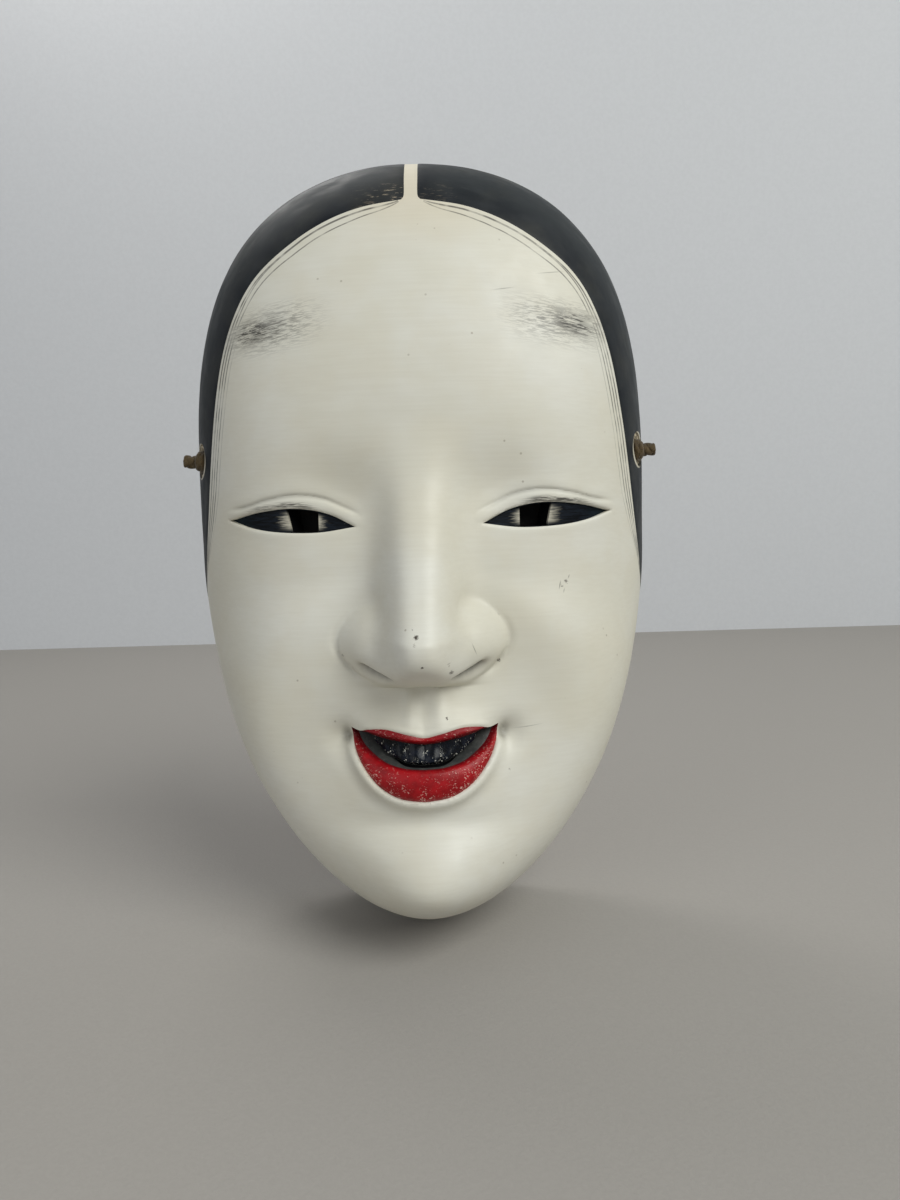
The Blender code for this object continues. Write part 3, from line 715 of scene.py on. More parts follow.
class Paint:
    """A material's nodes, added one by one. Values are sockets or plain numbers and colours."""

    def __init__(self, name, roughness, specular=0.5):
        self.made = bpy.data.materials.new(name)
        self.made.use_nodes = True
        self.tree = self.made.node_tree
        self.shader = self.tree.nodes["Principled BSDF"]
        self.shader.inputs["Roughness"].default_value = roughness
        self.shader.inputs["Specular IOR Level"].default_value = specular
        self.colour = None
        place = self.tree.nodes.new("ShaderNodeTexCoord").outputs["Object"]
        self.place = self.vector("MULTIPLY", place, (1.0 / MM,) * 3)
        lift = self.tree.nodes.new("ShaderNodeSeparateXYZ")
        self.put(self.place, lift.inputs[0])
        self.x, self.y = lift.outputs[0], lift.outputs[1]
        self.z = self.calc("ADD", lift.outputs[2], ORIGIN_Z)
        self.side = self.calc("ABSOLUTE", self.x)

    def put(self, value, socket):
        if isinstance(value, bpy.types.NodeSocket):
            self.tree.links.new(value, socket)
        elif isinstance(value, tuple) and socket.type == "RGBA":
            socket.default_value = (*value[:3], 1.0)
        else:
            socket.default_value = value

    def calc(self, operation, a, b=0.0, c=0.0):
        node = self.tree.nodes.new("ShaderNodeMath")
        node.operation = operation
        for value, socket in zip((a, b, c), node.inputs):
            self.put(value, socket)
        return node.outputs[0]

    def vector(self, operation, a, b):
        node = self.tree.nodes.new("ShaderNodeVectorMath")
        node.operation = operation
        self.put(a, node.inputs[0])
        self.put(b, node.inputs[1])
        return node.outputs["Value" if operation in ("LENGTH", "DISTANCE") else "Vector"]

    def ramp(self, value, low, high, start=0.0, end=1.0):
        """A smooth change from start to end as a value goes from low to high."""
        node = self.tree.nodes.new("ShaderNodeMapRange")
        node.interpolation_type = "SMOOTHSTEP"
        for item, socket in zip((value, low, high, start, end), node.inputs):
            self.put(item, socket)
        return node.outputs[0]

    def mix(self, factor, a, b, kind="MIX"):
        node = self.tree.nodes.new("ShaderNodeMix")
        node.data_type = "RGBA"
        node.blend_type = kind
        self.put(factor, node.inputs[0])
        self.put(a, node.inputs[6])
        self.put(b, node.inputs[7])
        return node.outputs[2]

    def noise(self, size, detail=3.0, stretch=(1.0, 1.0, 1.0), rough=0.55, bend=0.0, place=None):
        """Noise whose patches are about a size across, in millimetres, drawn out by a stretch."""
        place = place or self.place
        node = self.tree.nodes.new("ShaderNodeTexNoise")
        scales = tuple(1.0 / (size * share) for share in stretch)
        self.put(self.vector("MULTIPLY", place, scales), node.inputs["Vector"])
        node.inputs["Scale"].default_value = 1.0
        node.inputs["Detail"].default_value = detail
        node.inputs["Roughness"].default_value = rough
        node.inputs["Distortion"].default_value = bend
        return node.outputs[0]

    def cells(self, size, stretch=(1.0, 1.0, 1.0)):
        """Distance to the nearest of scattered points, in units of a size."""
        node = self.tree.nodes.new("ShaderNodeTexVoronoi")
        scales = tuple(1.0 / (size * share) for share in stretch)
        self.put(self.vector("MULTIPLY", self.place, scales), node.inputs["Vector"])
        node.inputs["Scale"].default_value = 1.0
        return node.outputs["Distance"]

    def field(self, name):
        node = self.tree.nodes.new("ShaderNodeAttribute")
        node.attribute_name = name
        return node.outputs["Fac"]

    def near(self, value, middle, reach):
        """1 where a value is at a middle, falling to 0 a reach away from it."""
        gap = self.calc("ABSOLUTE", self.calc("SUBTRACT", value, middle))
        return self.ramp(gap, 0.0, reach, 1.0, 0.0)

    def times(self, *values):
        product = values[0]
        for value in values[1:]:
            product = self.calc("MULTIPLY", product, value)
        return product

    def most(self, *values):
        highest = values[0]
        for value in values[1:]:
            highest = self.calc("MAXIMUM", highest, value)
        return highest

    def coat(self, amount, colour):
        """Lays a colour over what is already there."""
        self.colour = self.mix(amount, self.colour, colour)

    def finish(self, roughness=None, height=None, strength=0.4, distance=0.1):
        """Joins the colour, the roughness and a height in millimetres to the shader."""
        self.put(self.colour, self.shader.inputs["Base Color"])
        if roughness is not None:
            self.put(roughness, self.shader.inputs["Roughness"])
        if height is not None:
            bump = self.tree.nodes.new("ShaderNodeBump")
            bump.inputs["Strength"].default_value = strength
            bump.inputs["Distance"].default_value = distance * MM
            self.put(height, bump.inputs["Height"])
            self.put(bump.outputs[0], self.shader.inputs["Normal"])
        return self.made


CREAM = (0.69, 0.672, 0.575)
CREAM_PALE = (0.73, 0.722, 0.65)
CREAM_WARM = (0.66, 0.615, 0.485)
SOOT = (0.035, 0.031, 0.026)
BARE = (0.055, 0.042, 0.03)

# Worn places of the paint, as x, z, radius and how much of the ground is lost there.
CHIPS = [(-0.8, 85.9, 0.75, 1.0), (-1.7, 87.6, 0.3, 0.5), (0.5, 78.8, 0.42, 1.0), (7.3, 76.1, 0.75, 0.75),
         (19.5, 76.3, 0.5, 1.0), (5.8, 62.9, 0.38, 0.9), (37.9, 95.8, 0.6, 0.8), (36.6, 94.6, 0.4, 0.7),
         (21.5, 48.5, 0.35, 0.4), (-1.2, 84.2, 0.45, 0.35), (-20.5, 78.9, 0.4, 0.5), (10.6, 197.6, 0.6, 0.0)]
# Fine scratches as x, z of one end and of the other, and how dark they are.
SCRATCHES = [(12.5, 82.5, 13.8, 79.1, 0.55), (22.6, 58.3, 31.0, 59.4, 0.35), (20.0, 170.6, 26.5, 171.5, 0.5),
             (32.0, 175.4, 40.0, 176.6, 0.5), (6.2, 78.6, 7.2, 78.9, 0.5), (36.4, 96.2, 35.9, 93.8, 0.8),
             (38.9, 97.6, 38.4, 96.4, 0.6), (37.4, 94.2, 37.0, 92.8, 0.5)]


def chips(paint):
    """How much ground is lost at each place."""
    wobble = paint.calc("MULTIPLY_ADD", paint.noise(0.38, 3.0), 1.5, -0.72)
    found = 0.0
    for x, z, radius, loss in CHIPS:
        across = paint.calc("SUBTRACT", paint.x, x)
        up = paint.calc("SUBTRACT", paint.z, z)
        reach = paint.calc("SQRT", paint.calc("ADD", paint.times(across, across), paint.times(up, up)))
        reach = paint.calc("ADD", reach, wobble)
        found = paint.calc("MAXIMUM", found, paint.ramp(reach, 0.35 * radius, radius, loss, 0.0))
    return found


def scratches(paint):
    found = 0.0
    for x0, z0, x1, z1, dark in SCRATCHES:
        length = math.hypot(x1 - x0, z1 - z0)
        dx, dz = (x1 - x0) / length, (z1 - z0) / length
        across = paint.calc("SUBTRACT", paint.x, x0)
        up = paint.calc("SUBTRACT", paint.z, z0)
        along = paint.calc("ADD", paint.times(across, dx), paint.times(up, dz))
        off = paint.calc("SUBTRACT", paint.times(up, dx), paint.times(across, dz))
        here = paint.times(paint.near(off, 0.0, 0.2), paint.near(along, 0.5 * length, 0.6 * length), dark)
        found = paint.calc("MAXIMUM", found, here)
    return found


def hairline_ink(paint):
    """Fine strands drawn with a brush beside the hair."""
    waver = paint.calc("MULTIPLY_ADD", paint.noise(9.0, 2.0), 0.5, -0.25)
    flow = paint.ramp(paint.noise(4.5, 4.0), 0.3, 0.6, 0.35, 1.0)
    found = 0.0
    for name, width, dark in (("strand_a", 0.36, 0.85), ("strand_b", 0.32, 0.78), ("strand_c", 0.3, 0.75),
                              ("strand_d", 0.24, 0.3)):
        gap = paint.calc("ABSOLUTE", paint.calc("ADD", paint.field(name), waver))
        found = paint.calc("MAXIMUM", found,
                           paint.times(paint.ramp(gap, 0.25 * width, width, dark, 0.0), flow))
    return found


def brow_ink(paint):
    """Smudged eyebrows high on the forehead, of many short level strokes."""
    drop = paint.tree.nodes.new("ShaderNodeCombineXYZ")
    paint.put(paint.calc("MULTIPLY", paint.side, 0.13), drop.inputs[2])
    slant = paint.vector("ADD", paint.place, drop.outputs[0])
    bend = paint.calc("MULTIPLY", paint.noise(9.0, 2.0), 2.2)
    rise = paint.calc("ADD", paint.calc("MULTIPLY_ADD", paint.side, 0.13, paint.z), bend)
    dense = paint.times(paint.near(paint.side, 42.0, 12.0), paint.near(rise, 169.2, 5.8))
    thin = paint.times(paint.near(paint.side, 37.5, 19.5), paint.near(rise, 168.8, 8.6))
    strokes = paint.noise(0.26, 3.0, (11.0, 22.0, 1.0), 0.62, 0.2, slant)
    streaks = paint.noise(0.5, 4.0, (8.0, 16.0, 1.0), 0.68, 0.25, slant)
    line = paint.ramp(strokes, 0.46, 0.57)
    broad = paint.ramp(streaks, 0.44, 0.57)
    smudge = paint.times(dense, paint.ramp(paint.noise(3.0, 4.0, (2.2, 2.0, 1.0)), 0.32, 0.6), 0.5)
    fine = paint.times(thin, line, 0.75)
    full = paint.times(dense, broad, 1.15)
    return paint.calc("MINIMUM", paint.most(smudge, fine, full), 0.92)


def lash_ink(paint):
    """Thin brushed strokes over the upper lids."""
    above = paint.field("over_lid")
    band = paint.times(paint.ramp(above, 0.0, 0.4), paint.ramp(above, 0.9, 2.1, 1.0, 0.0))
    across = paint.times(paint.ramp(paint.side, 25.0, 31.0), paint.ramp(paint.side, 38.0, 48.0, 1.0, 0.0))
    strokes = paint.ramp(paint.noise(0.24, 3.0, (16.0, 20.0, 1.0), 0.6, 0.25), 0.42, 0.55)
    return paint.times(band, across, strokes, 0.9)


def crease_shade(paint):
    """Painted shade: a breath of grey in the crease over each eye."""
    gap = paint.field("from_crease")
    across = paint.times(paint.ramp(paint.side, 17.0, 26.0), paint.ramp(paint.side, 46.0, 51.0, 1.0, 0.0))
    return paint.times(paint.near(gap, 0.0, 1.1), across, 0.3)


def ivory_paint():
    """Chalky white ground, polished and aged, with the ink drawn on it, its wear, and painted shade in its
    recesses and eye creases.
    """
    paint = Paint("aged ivory ground", 0.5)
    patches = paint.ramp(paint.noise(46.0, 3.0), 0.36, 0.66)
    cloud = paint.ramp(paint.noise(13.0, 4.0), 0.35, 0.68)
    brushed = paint.noise(0.75, 4.0, (26.0, 3.0, 1.0), 0.6)
    paint.colour = paint.mix(patches, CREAM, CREAM_PALE)
    paint.coat(paint.times(cloud, 0.28), CREAM_WARM)
    crown = paint.times(paint.ramp(paint.z, 176.0, 204.0), paint.ramp(paint.side, 4.0, 30.0, 0.5, 0.0))
    paint.coat(crown, (0.70, 0.61, 0.45))
    paint.coat(paint.ramp(brushed, 0.3, 0.7, 0.07, 0.0), (0.40, 0.35, 0.25))
    specks = paint.ramp(paint.cells(5.2), 0.035, 0.075, 0.5, 0.0)
    paint.coat(paint.times(specks, paint.ramp(paint.noise(24.0, 2.0), 0.5, 0.62)), (0.22, 0.17, 0.11))
    # Painted shade: darkens the nostrils, the mouth corners, the creases round the wings and the groove under
    # the lower lip.
    recess_shade = paint.field("recess_shade")
    patchy_recess_shade = paint.times(recess_shade, paint.ramp(paint.noise(1.6, 4.0), 0.15, 0.7, 0.7, 1.0))
    paint.coat(paint.ramp(patchy_recess_shade, 0.0, 1.0, 0.0, 0.92), (0.075, 0.066, 0.05))
    # Ink drawn on the face, with the painted shade of the eye creases, all in soot black.
    ink = paint.most(hairline_ink(paint), brow_ink(paint), lash_ink(paint), crease_shade(paint),
                     scratches(paint))
    paint.coat(ink, SOOT)
    lost = chips(paint)
    paint.coat(lost, BARE)
    edge = paint.times(paint.ramp(paint.y, -2.2, -0.2),
                       paint.ramp(paint.noise(3.0, 4.0), 0.4, 0.62, 0.1, 0.75))
    paint.coat(edge, (0.34, 0.26, 0.165))
    rough = paint.ramp(paint.noise(5.0, 4.0), 0.3, 0.7, 0.42, 0.56)
    height = paint.calc("ADD", paint.times(brushed, 0.5), paint.times(paint.noise(0.5, 3.0), 0.22))
    height = paint.calc("SUBTRACT", height, paint.times(lost, 1.6))
    return paint.finish(rough, height, 0.35, 0.07)


def hair_paint():
    """Slate-black ink, deeper beside the hairline and rubbed along the outer edge."""
    paint = Paint("slate black ink", 0.55, 0.2)
    gap = paint.field("in_hair")
    grain = paint.noise(1.1, 4.0, (7.0, 3.0, 7.0))
    paint.colour = paint.mix(paint.ramp(gap, 0.5, 9.5), (0.0085, 0.011, 0.0145), (0.020, 0.0245, 0.027))
    paint.coat(paint.ramp(paint.noise(11.0, 4.0), 0.42, 0.7, 0.0, 0.4), (0.042, 0.043, 0.036))
    paint.coat(paint.ramp(grain, 0.35, 0.75, 0.0, 0.16), (0.08, 0.088, 0.095))
    scuff = paint.times(paint.ramp(paint.side, 5.0, 17.0, 1.0, 0.0),
                        paint.ramp(paint.z, 199.5, 203.0, 1.0, 0.0),
                        paint.ramp(paint.noise(0.55, 4.0, (5.0, 3.0, 1.0), 0.7), 0.54, 0.68))
    scuff = paint.times(scuff, paint.ramp(paint.x, 0.5, -0.5, 0.25, 1.0))
    paint.coat(scuff, (0.36, 0.30, 0.22))
    fleck = paint.ramp(paint.cells(7.5), 0.02, 0.045, 0.5, 0.0)
    paint.coat(paint.times(fleck, paint.ramp(paint.noise(17.0, 2.0), 0.52, 0.62)), (0.42, 0.40, 0.34))
    edge = paint.times(paint.ramp(paint.y, -1.8, -0.1),
                       paint.ramp(paint.noise(2.2, 4.0), 0.45, 0.62, 0.0, 0.8))
    paint.coat(edge, (0.30, 0.24, 0.16))
    ring = paint.ramp(paint.field("from_hole"), 0.15, 0.6, 0.95, 0.0)
    paint.coat(ring, (0.60, 0.56, 0.46))
    rough = paint.ramp(grain, 0.3, 0.7, 0.42, 0.6)
    height = paint.calc("ADD", paint.times(grain, 0.6), paint.times(paint.noise(0.4, 3.0), 0.25))
    return paint.finish(rough, height, 0.3, 0.06)


def lip_paint():
    """Vermilion lip paint, rubbed through to the white ground near its edges, with painted shade where the
    lips roll in towards the opening.
    """
    paint = Paint("vermilion lip paint", 0.42, 0.3)
    gap = paint.field("in_lip")
    paint.colour = paint.mix(paint.ramp(paint.noise(3.2, 4.0), 0.35, 0.65), (0.26, 0.0012, 0.004),
                             (0.37, 0.003, 0.007))
    paint.coat(paint.ramp(paint.z, 57.0, 59.0, 0.0, 0.6), (0.17, 0.002, 0.006))
    rubbed = paint.noise(0.36, 4.0, (1.5, 1.4, 1.0), 0.7)
    level = paint.ramp(gap, 0.2, 7.5, 0.55, 0.635)
    low = paint.ramp(paint.z, 49.0, 58.0, 0.0, 0.05)
    level = paint.calc("ADD", level, low)
    worn = paint.ramp(rubbed, level, paint.calc("ADD", level, 0.03), 0.0, 0.95)
    dabs = paint.ramp(paint.noise(2.4, 3.0), 0.42, 0.52)
    paint.coat(paint.times(worn, dabs), (0.72, 0.42, 0.36))
    # Painted shade: darker red where the lips roll in towards the opening.
    opening_shade = paint.ramp(paint.field("to_opening"), 0.0, 0.9, 0.75, 0.0)
    paint.coat(opening_shade, (0.10, 0.003, 0.006))
    rough = paint.ramp(rubbed, 0.35, 0.65, 0.3, 0.55)
    height = paint.calc("ADD", paint.times(rubbed, 0.5), paint.times(paint.noise(1.4, 3.0), 0.5))
    return paint.finish(rough, height, 0.45, 0.1)


def teeth_paint():
    """Blue-black lacquer of blackened teeth, rubbed pale at the corners of each tooth."""
    paint = Paint("blackened teeth", 0.3, 0.2)
    paint.colour = paint.mix(paint.ramp(paint.noise(2.4, 3.0), 0.35, 0.65), (0.0015, 0.002, 0.003),
                             (0.006, 0.009, 0.017))
    gap = paint.field("tooth_gap")
    spots = paint.noise(0.34, 3.0, (1.0, 1.0, 1.7), 0.6, 0.6)
    worn = paint.ramp(spots, 0.585, 0.61)
    where = paint.most(paint.ramp(gap, 0.5, 1.3, 1.0, 0.0),
                       paint.ramp(paint.field("tooth_foot"), 0.4, 1.1, 1.0, 0.0))
    where = paint.times(where, paint.ramp(paint.noise(1.5, 2.0), 0.48, 0.56))
    paint.coat(paint.times(worn, where, 0.95), (0.66, 0.66, 0.58))
    paint.coat(paint.ramp(gap, 0.0, 0.22, 0.85, 0.0), (0.004, 0.004, 0.005))
    rough = paint.ramp(spots, 0.4, 0.7, 0.2, 0.42)
    return paint.finish(rough, spots, 0.2, 0.05)


def lining_paint():
    """Grey-black paint inside the mouth."""
    paint = Paint("mouth lining", 0.5, 0.25)
    paint.colour = paint.mix(paint.ramp(paint.noise(2.6, 4.0), 0.3, 0.7), (0.035, 0.037, 0.036),
                             (0.062, 0.064, 0.06))
    paint.coat(paint.ramp(paint.noise(0.5, 4.0), 0.62, 0.7, 0.0, 0.5), (0.17, 0.16, 0.14))
    return paint.finish(paint.ramp(paint.noise(1.0), 0.3, 0.7, 0.35, 0.55), paint.noise(0.6), 0.3, 0.08)


def eye_paint():
    """White of the eye beside the hole, brushed into blue-black towards the corners."""
    paint = Paint("painted eye", 0.4, 0.12)
    streaks = paint.noise(0.26, 4.0, (14.0, 14.0, 1.0), 0.7, 0.2)
    drift = paint.calc("MULTIPLY_ADD", streaks, 8.0, -4.0)
    outer = paint.calc("ADD", paint.calc("SUBTRACT", paint.side, 34.2), drift)
    inner = paint.calc("ADD", paint.calc("SUBTRACT", 26.1, paint.side), drift)
    white_out = paint.times(paint.ramp(outer, -1.2, 3.0, 1.0, 0.0), paint.ramp(paint.side, 30.0, 31.0))
    white_in = paint.times(paint.ramp(inner, -0.8, 2.4, 1.0, 0.0),
                           paint.ramp(paint.side, 29.0, 30.0, 1.0, 0.0))
    white = paint.times(paint.calc("MAXIMUM", white_out, white_in), 0.86)
    lid = paint.ramp(paint.field("in_eye"), 0.3, 1.9)
    white = paint.times(white, lid)
    dark = paint.mix(paint.ramp(streaks, 0.42, 0.62), (0.0012, 0.0018, 0.003), (0.008, 0.0125, 0.02))
    dark = paint.mix(paint.ramp(paint.side, 43.0, 50.0, 0.0, 0.5), dark, (0.006, 0.02, 0.028))
    paint.colour = paint.mix(white, dark, (0.62, 0.585, 0.48))
    fleck = paint.ramp(paint.cells(2.3), 0.05, 0.09, 0.6, 0.0)
    paint.coat(paint.times(fleck, paint.ramp(paint.noise(3.4), 0.56, 0.62)), (0.5, 0.5, 0.44))
    rough = paint.ramp(streaks, 0.3, 0.7, 0.34, 0.52)
    return paint.finish(rough, streaks, 0.25, 0.05)


def wood_paint():
    """Oiled cypress: grain along the face, darker where it was handled, inked near the holes."""
    paint = Paint("carved cypress", 0.6, 0.08)
    rings = paint.noise(2.6, 4.0, (1.0, 3.0, 26.0), 0.6, 0.6)
    fibre = paint.noise(0.42, 3.0, (1.0, 1.6, 34.0), 0.6)
    paint.colour = paint.mix(paint.ramp(rings, 0.34, 0.66), (0.30, 0.165, 0.075), (0.45, 0.285, 0.145))
    paint.coat(paint.ramp(fibre, 0.4, 0.7, 0.0, 0.35), (0.20, 0.105, 0.045))
    handled = paint.ramp(paint.noise(30.0, 3.0), 0.4, 0.66, 0.1, 0.6)
    paint.coat(handled, (0.17, 0.085, 0.038))
    rim = paint.times(paint.ramp(paint.y, -3.0, -0.1),
                      paint.ramp(paint.noise(7.0, 4.0), 0.35, 0.62, 0.35, 0.75))
    paint.coat(rim, (0.115, 0.06, 0.03))
    ink = paint.ramp(paint.calc("ADD", paint.field("inked"),
                                paint.calc("MULTIPLY_ADD", paint.noise(1.6), 0.5, -0.25)),
                     0.35, 0.6)
    paint.coat(ink, (0.003, 0.003, 0.0035))
    collar = paint.field("collar")
    collar = paint.ramp(paint.calc("ADD", collar, paint.calc("MULTIPLY_ADD", paint.noise(1.1), 0.3, -0.15)),
                        0.1, 0.3)
    paint.coat(collar, (0.60, 0.53, 0.40))
    rough = paint.ramp(rings, 0.3, 0.7, 0.5, 0.7)
    height = paint.calc("ADD", paint.times(fibre, 0.6), paint.times(rings, 0.4))
    return paint.finish(rough, height, 0.45, 0.12)


def cord_paint():
    """Olive-brown braided silk cord, paler on its high threads, with painted shade in the low places between
    them.
    """
    paint = Paint("olive braided cord", 0.75)
    thread = paint.noise(0.16, 3.0, rough=0.7)
    patches = paint.noise(4.5, 3.0)
    paint.colour = paint.mix(paint.ramp(patches, 0.35, 0.65), (0.045, 0.027, 0.0075), (0.085, 0.053, 0.016))
    # Paler where the fine thread relief stands high.
    paint.coat(paint.ramp(thread, 0.48, 0.72, 0.0, 0.6), (0.19, 0.13, 0.045))
    # Painted shade: darker where the fine thread relief sinks, between the threads.
    paint.coat(paint.ramp(thread, 0.5, 0.3, 0.0, 0.8), (0.010, 0.006, 0.002))
    paint.shader.inputs["Sheen Weight"].default_value = 0.25
    return paint.finish(0.78, thread, 0.7, 0.12)


# ---- The mask ----


def strand_fields(x, z):
    """Distance from each painted strand beside the hairline, and the distance from the hairline."""
    gap, run = distance_along(x, z, HAIRLINE[HAIR_CORNER:], 9.0)
    fields = {}
    for name, (top, low, opening) in STRANDS.items():
        down = smooth_step((run - 30.0) / 32.0)
        place = top + (low - top) * down
        place = place * (1.0 - np.exp(-(run + 0.2) / opening))
        place = place * smooth_step((STRAND_LENGTH - 12.0 - run) / 34.0)
        fields["strand_" + name] = np.where(run > 0.2, gap - place, FAR)
    fields["strand_d"] = np.where(z < 165.0, fields["strand_d"], FAR)
    return fields, gap


def recess_shade_field(x, z):
    """Painted shade in the recesses: the nostrils, the mouth corners, the creases round the wings and the
    groove under the lower lip.
    """
    along, across = nostril_place(x, z)
    side = np.abs(x)
    recess_shade = np.exp(-((along / 4.8) ** 4)) * np.exp(-((across / 0.9) ** 2))
    recess_shade = np.maximum(recess_shade, 0.72 * hill(side, z, (20.3, 57.6), (1.7, 2.5)))
    reach = np.hypot(side / 22.6, (z - 82.5) / 12.8)
    outer = smooth_step((side - 14.0) / 5.0) * smooth_step((89.0 - z) / 8.0)
    recess_shade = np.maximum(recess_shade, 0.2 * np.exp(-(((reach - 1.0) / 0.05) ** 2)) * outer)
    return np.maximum(recess_shade, 0.12 * hill(side, z, (0.0, 39.5), (12.0, 2.2)))


class Layout:
    """The points and triangles that all carved and painted pieces share, and what is known at each."""

    def __init__(self):
        self.outlines = layout_outlines()
        self.net, self.triangles, at_rim = triangulate(self.outlines)
        self.middles = self.net[self.triangles].mean(axis=1)
        self.x, self.z, self.share, _ = fold(self.net)
        self.base = surface(self.net)
        self.normal = outward(self.net, at_rim)
        self.depth = -self.base[:, 1]
        self.eye_points = self.points_of(self.either("eye"))
        self.lip_points = self.points_of(self.within("upper_lip")) | self.points_of(self.within("lower_lip"))
        self.opening_points = self.points_of(self.within("opening"))
        self.measure_face()
        self.measure_hair()
        self.carve()
        rise = np.clip((self.z - height_on(LOWER_LIP_EDGE, self.x)) / 3.2, 0.0, 1.0)
        self.lining_sink = 1.9 + 3.6 * rise**1.3

    def within(self, name, points=None):
        return inside_loop(self.middles if points is None else points, self.outlines[name])

    def either(self, name, points=None):
        return self.within("right_" + name, points) | self.within("left_" + name, points)

    def points_of(self, chosen):
        marked = np.zeros(len(self.net), bool)
        marked[self.triangles[chosen].ravel()] = True
        return marked

    def measure_face(self):
        """Distances from the eyes' outlines, the mouth's outline and the opening between the lips."""
        eye_line = np.vstack([eye_loop(), eye_loop()[:1]])
        self.eye_gap, _ = distance_along(self.x, self.z, eye_line, 14.0)
        mouth_line = np.vstack([smooth_line(MOUTH_TOP, 1.0), smooth_line(MOUTH_BOTTOM, 1.0)[1:]])
        self.lip_gap, _ = distance_along(self.x, self.z, mouth_line, 9.0)
        _, _, opening = mouth_loops()
        right = opening[opening[:, 0] > -0.01]
        right = right[np.argsort(np.arctan2(right[:, 1] - 55.0, right[:, 0] + 4.0))]
        self.inner_gap, _ = distance_along(self.x, self.z, right, 12.0)

    def measure_hair(self):
        """Distances from the hairline, its strands and the rings round the cord's holes."""
        strands, hair_gap = strand_fields(self.x, self.z)
        facing = np.clip(-self.normal[:, 1], 0.28, 1.0)
        self.strands = {name: gap / facing for name, gap in strands.items()}
        parting_gap = np.where(self.z > 190.0, np.abs(np.abs(self.x) - HAIRLINE[0][0]), FAR)
        self.in_hair = np.minimum(hair_gap, parting_gap)
        self.hole = surface(np.array([hole_centre()]))[0]
        mirror = self.base * np.sign(self.x)[:, None] * (1.0, 0.0, 0.0) + self.base * (0.0, 1.0, 1.0)
        self.hole_gap = np.linalg.norm(mirror - self.hole, axis=1) - CHAMFER_RADIUS

    def carve(self):
        """How far the carving that is finer than the CAD part's stands out at each point."""
        x, z = self.x, self.z
        detail = lid_carving(x, z, np.where(self.eye_points, 0.0, self.eye_gap))
        detail += nose_carving(x, z) + hand_carving(x, z)
        detail += mouth_carving(x, z, self.lip_gap, ~(self.lip_points | self.opening_points))
        lip_shape = lip_carving(self.lip_gap, self.inner_gap)
        detail = np.where(self.lip_points, detail + lip_shape * np.clip(self.lip_gap / 0.8, 0.0, 1.0), detail)
        detail -= 0.5 * np.clip(1.0 - self.depth / 1.1, 0.0, 1.0) ** 2
        hair_points = self.points_of(self.either("hair"))
        self.detail = detail + np.where(hair_points, 0.09 * smooth_step(self.in_hair / 0.5), 0.0)

    def sunk(self, amount, carving=None):
        """The face's surface with its carving, lowered by an amount."""
        carving = self.detail if carving is None else carving
        return self.base + self.normal * (carving - np.asarray(amount)).reshape(-1, 1)


def build_face(layout):
    x, z = layout.x, layout.z
    fields = dict(layout.strands)
    fields["over_lid"] = z - height_on(EYE_UPPER, x)
    fields["from_crease"] = z - height_on(CREASE, x)
    # Painted shade in the face's recesses.
    fields["recess_shade"] = recess_shade_field(x, z)
    off_face = layout.either("hair") | layout.either("eye")
    for name in ("upper_lip", "lower_lip", "opening"):
        off_face |= layout.within(name)
    wall = np.where(layout.eye_gap < 0.4, 2.2, SKIN)
    mesh = layer_mesh("painted_face", layout.triangles[~off_face], layout.sunk(0.0), layout.sunk(wall),
                      fields)
    new_object("painted_face", mesh, ivory_paint(), "mask", ["face_ground"])


def build_hair(layout):
    ink = hair_paint()
    fields = {"in_hair": layout.in_hair, "from_hole": layout.hole_gap}
    for side in SIDES:
        hair = layout.within(side + "hair") & ~layout.within(side + "chamfer")
        mesh = layer_mesh(side + "painted_hair", layout.triangles[hair], layout.sunk(0.0),
                          layout.sunk(SKIN), fields)
        new_object(side + "painted_hair", mesh, ink, "mask", [side + "hair"])


def build_lips(layout):
    red = lip_paint()
    fields = {"in_lip": layout.lip_gap, "to_opening": layout.inner_gap}
    bottom = layout.sunk(np.where(layout.inner_gap < 0.4, 3.0, SKIN))
    for name in ("upper_lip", "lower_lip"):
        mesh = layer_mesh("painted_" + name, layout.triangles[layout.within(name)], layout.sunk(0.0),
                          bottom, fields)
        new_object("painted_" + name, mesh, red, "mask", [name])


def build_lining(layout):
    inside = layout.within("opening") & ~layout.within("slot")
    top, bottom = layout.sunk(layout.lining_sink, 0.0), layout.sunk(layout.lining_sink + SKIN, 0.0)
    mesh = layer_mesh("mouth_lining", layout.triangles[inside], top, bottom, {})
    new_object("mouth_lining", mesh, lining_paint(), "mask", [])


def build_teeth(layout):
    """One row of upper teeth, each with a round crown."""
    gaps = np.abs(np.abs(layout.x)[:, None] - np.array(TOOTH_EDGES)).min(axis=1)
    crown = 0.75 * np.sqrt(np.clip(gaps / 2.2, 0.0, 1.0))
    foot = np.clip(layout.z - height_on(TEETH_BOTTOM[1:], layout.x), 0.0, 1.2)
    top = layout.sunk(2.5 - crown + 0.45 * (1.0 - foot / 1.2) ** 2, 0.0)
    teeth = layout.triangles[layout.within("teeth")]
    fields = {"tooth_gap": gaps, "tooth_foot": foot}
    mesh = layer_mesh("blackened_teeth", teeth, top, layout.sunk(TEETH_BACK, 0.0), fields)
    new_object("blackened_teeth", mesh, teeth_paint(), "mask", ["upper_teeth"])


def build_eyes(layout):
    ball = 0.7 * np.clip(1.0 - ((np.abs(layout.x) - 32.5) / 18.0) ** 2, 0.0, 1.0)
    top, bottom = layout.sunk(EYE_SINK + 0.35 - ball, 0.0), layout.sunk(EYE_SINK + SKIN, 0.0)
    for side in SIDES:
        eye = layout.within(side + "eye") & ~layout.within(side + "pupil")
        mesh = layer_mesh(side + "painted_eye", layout.triangles[eye], top, bottom,
                          {"in_eye": layout.eye_gap})
        new_object(side + "painted_eye", mesh, eye_paint(), "mask", [side + "eye"])


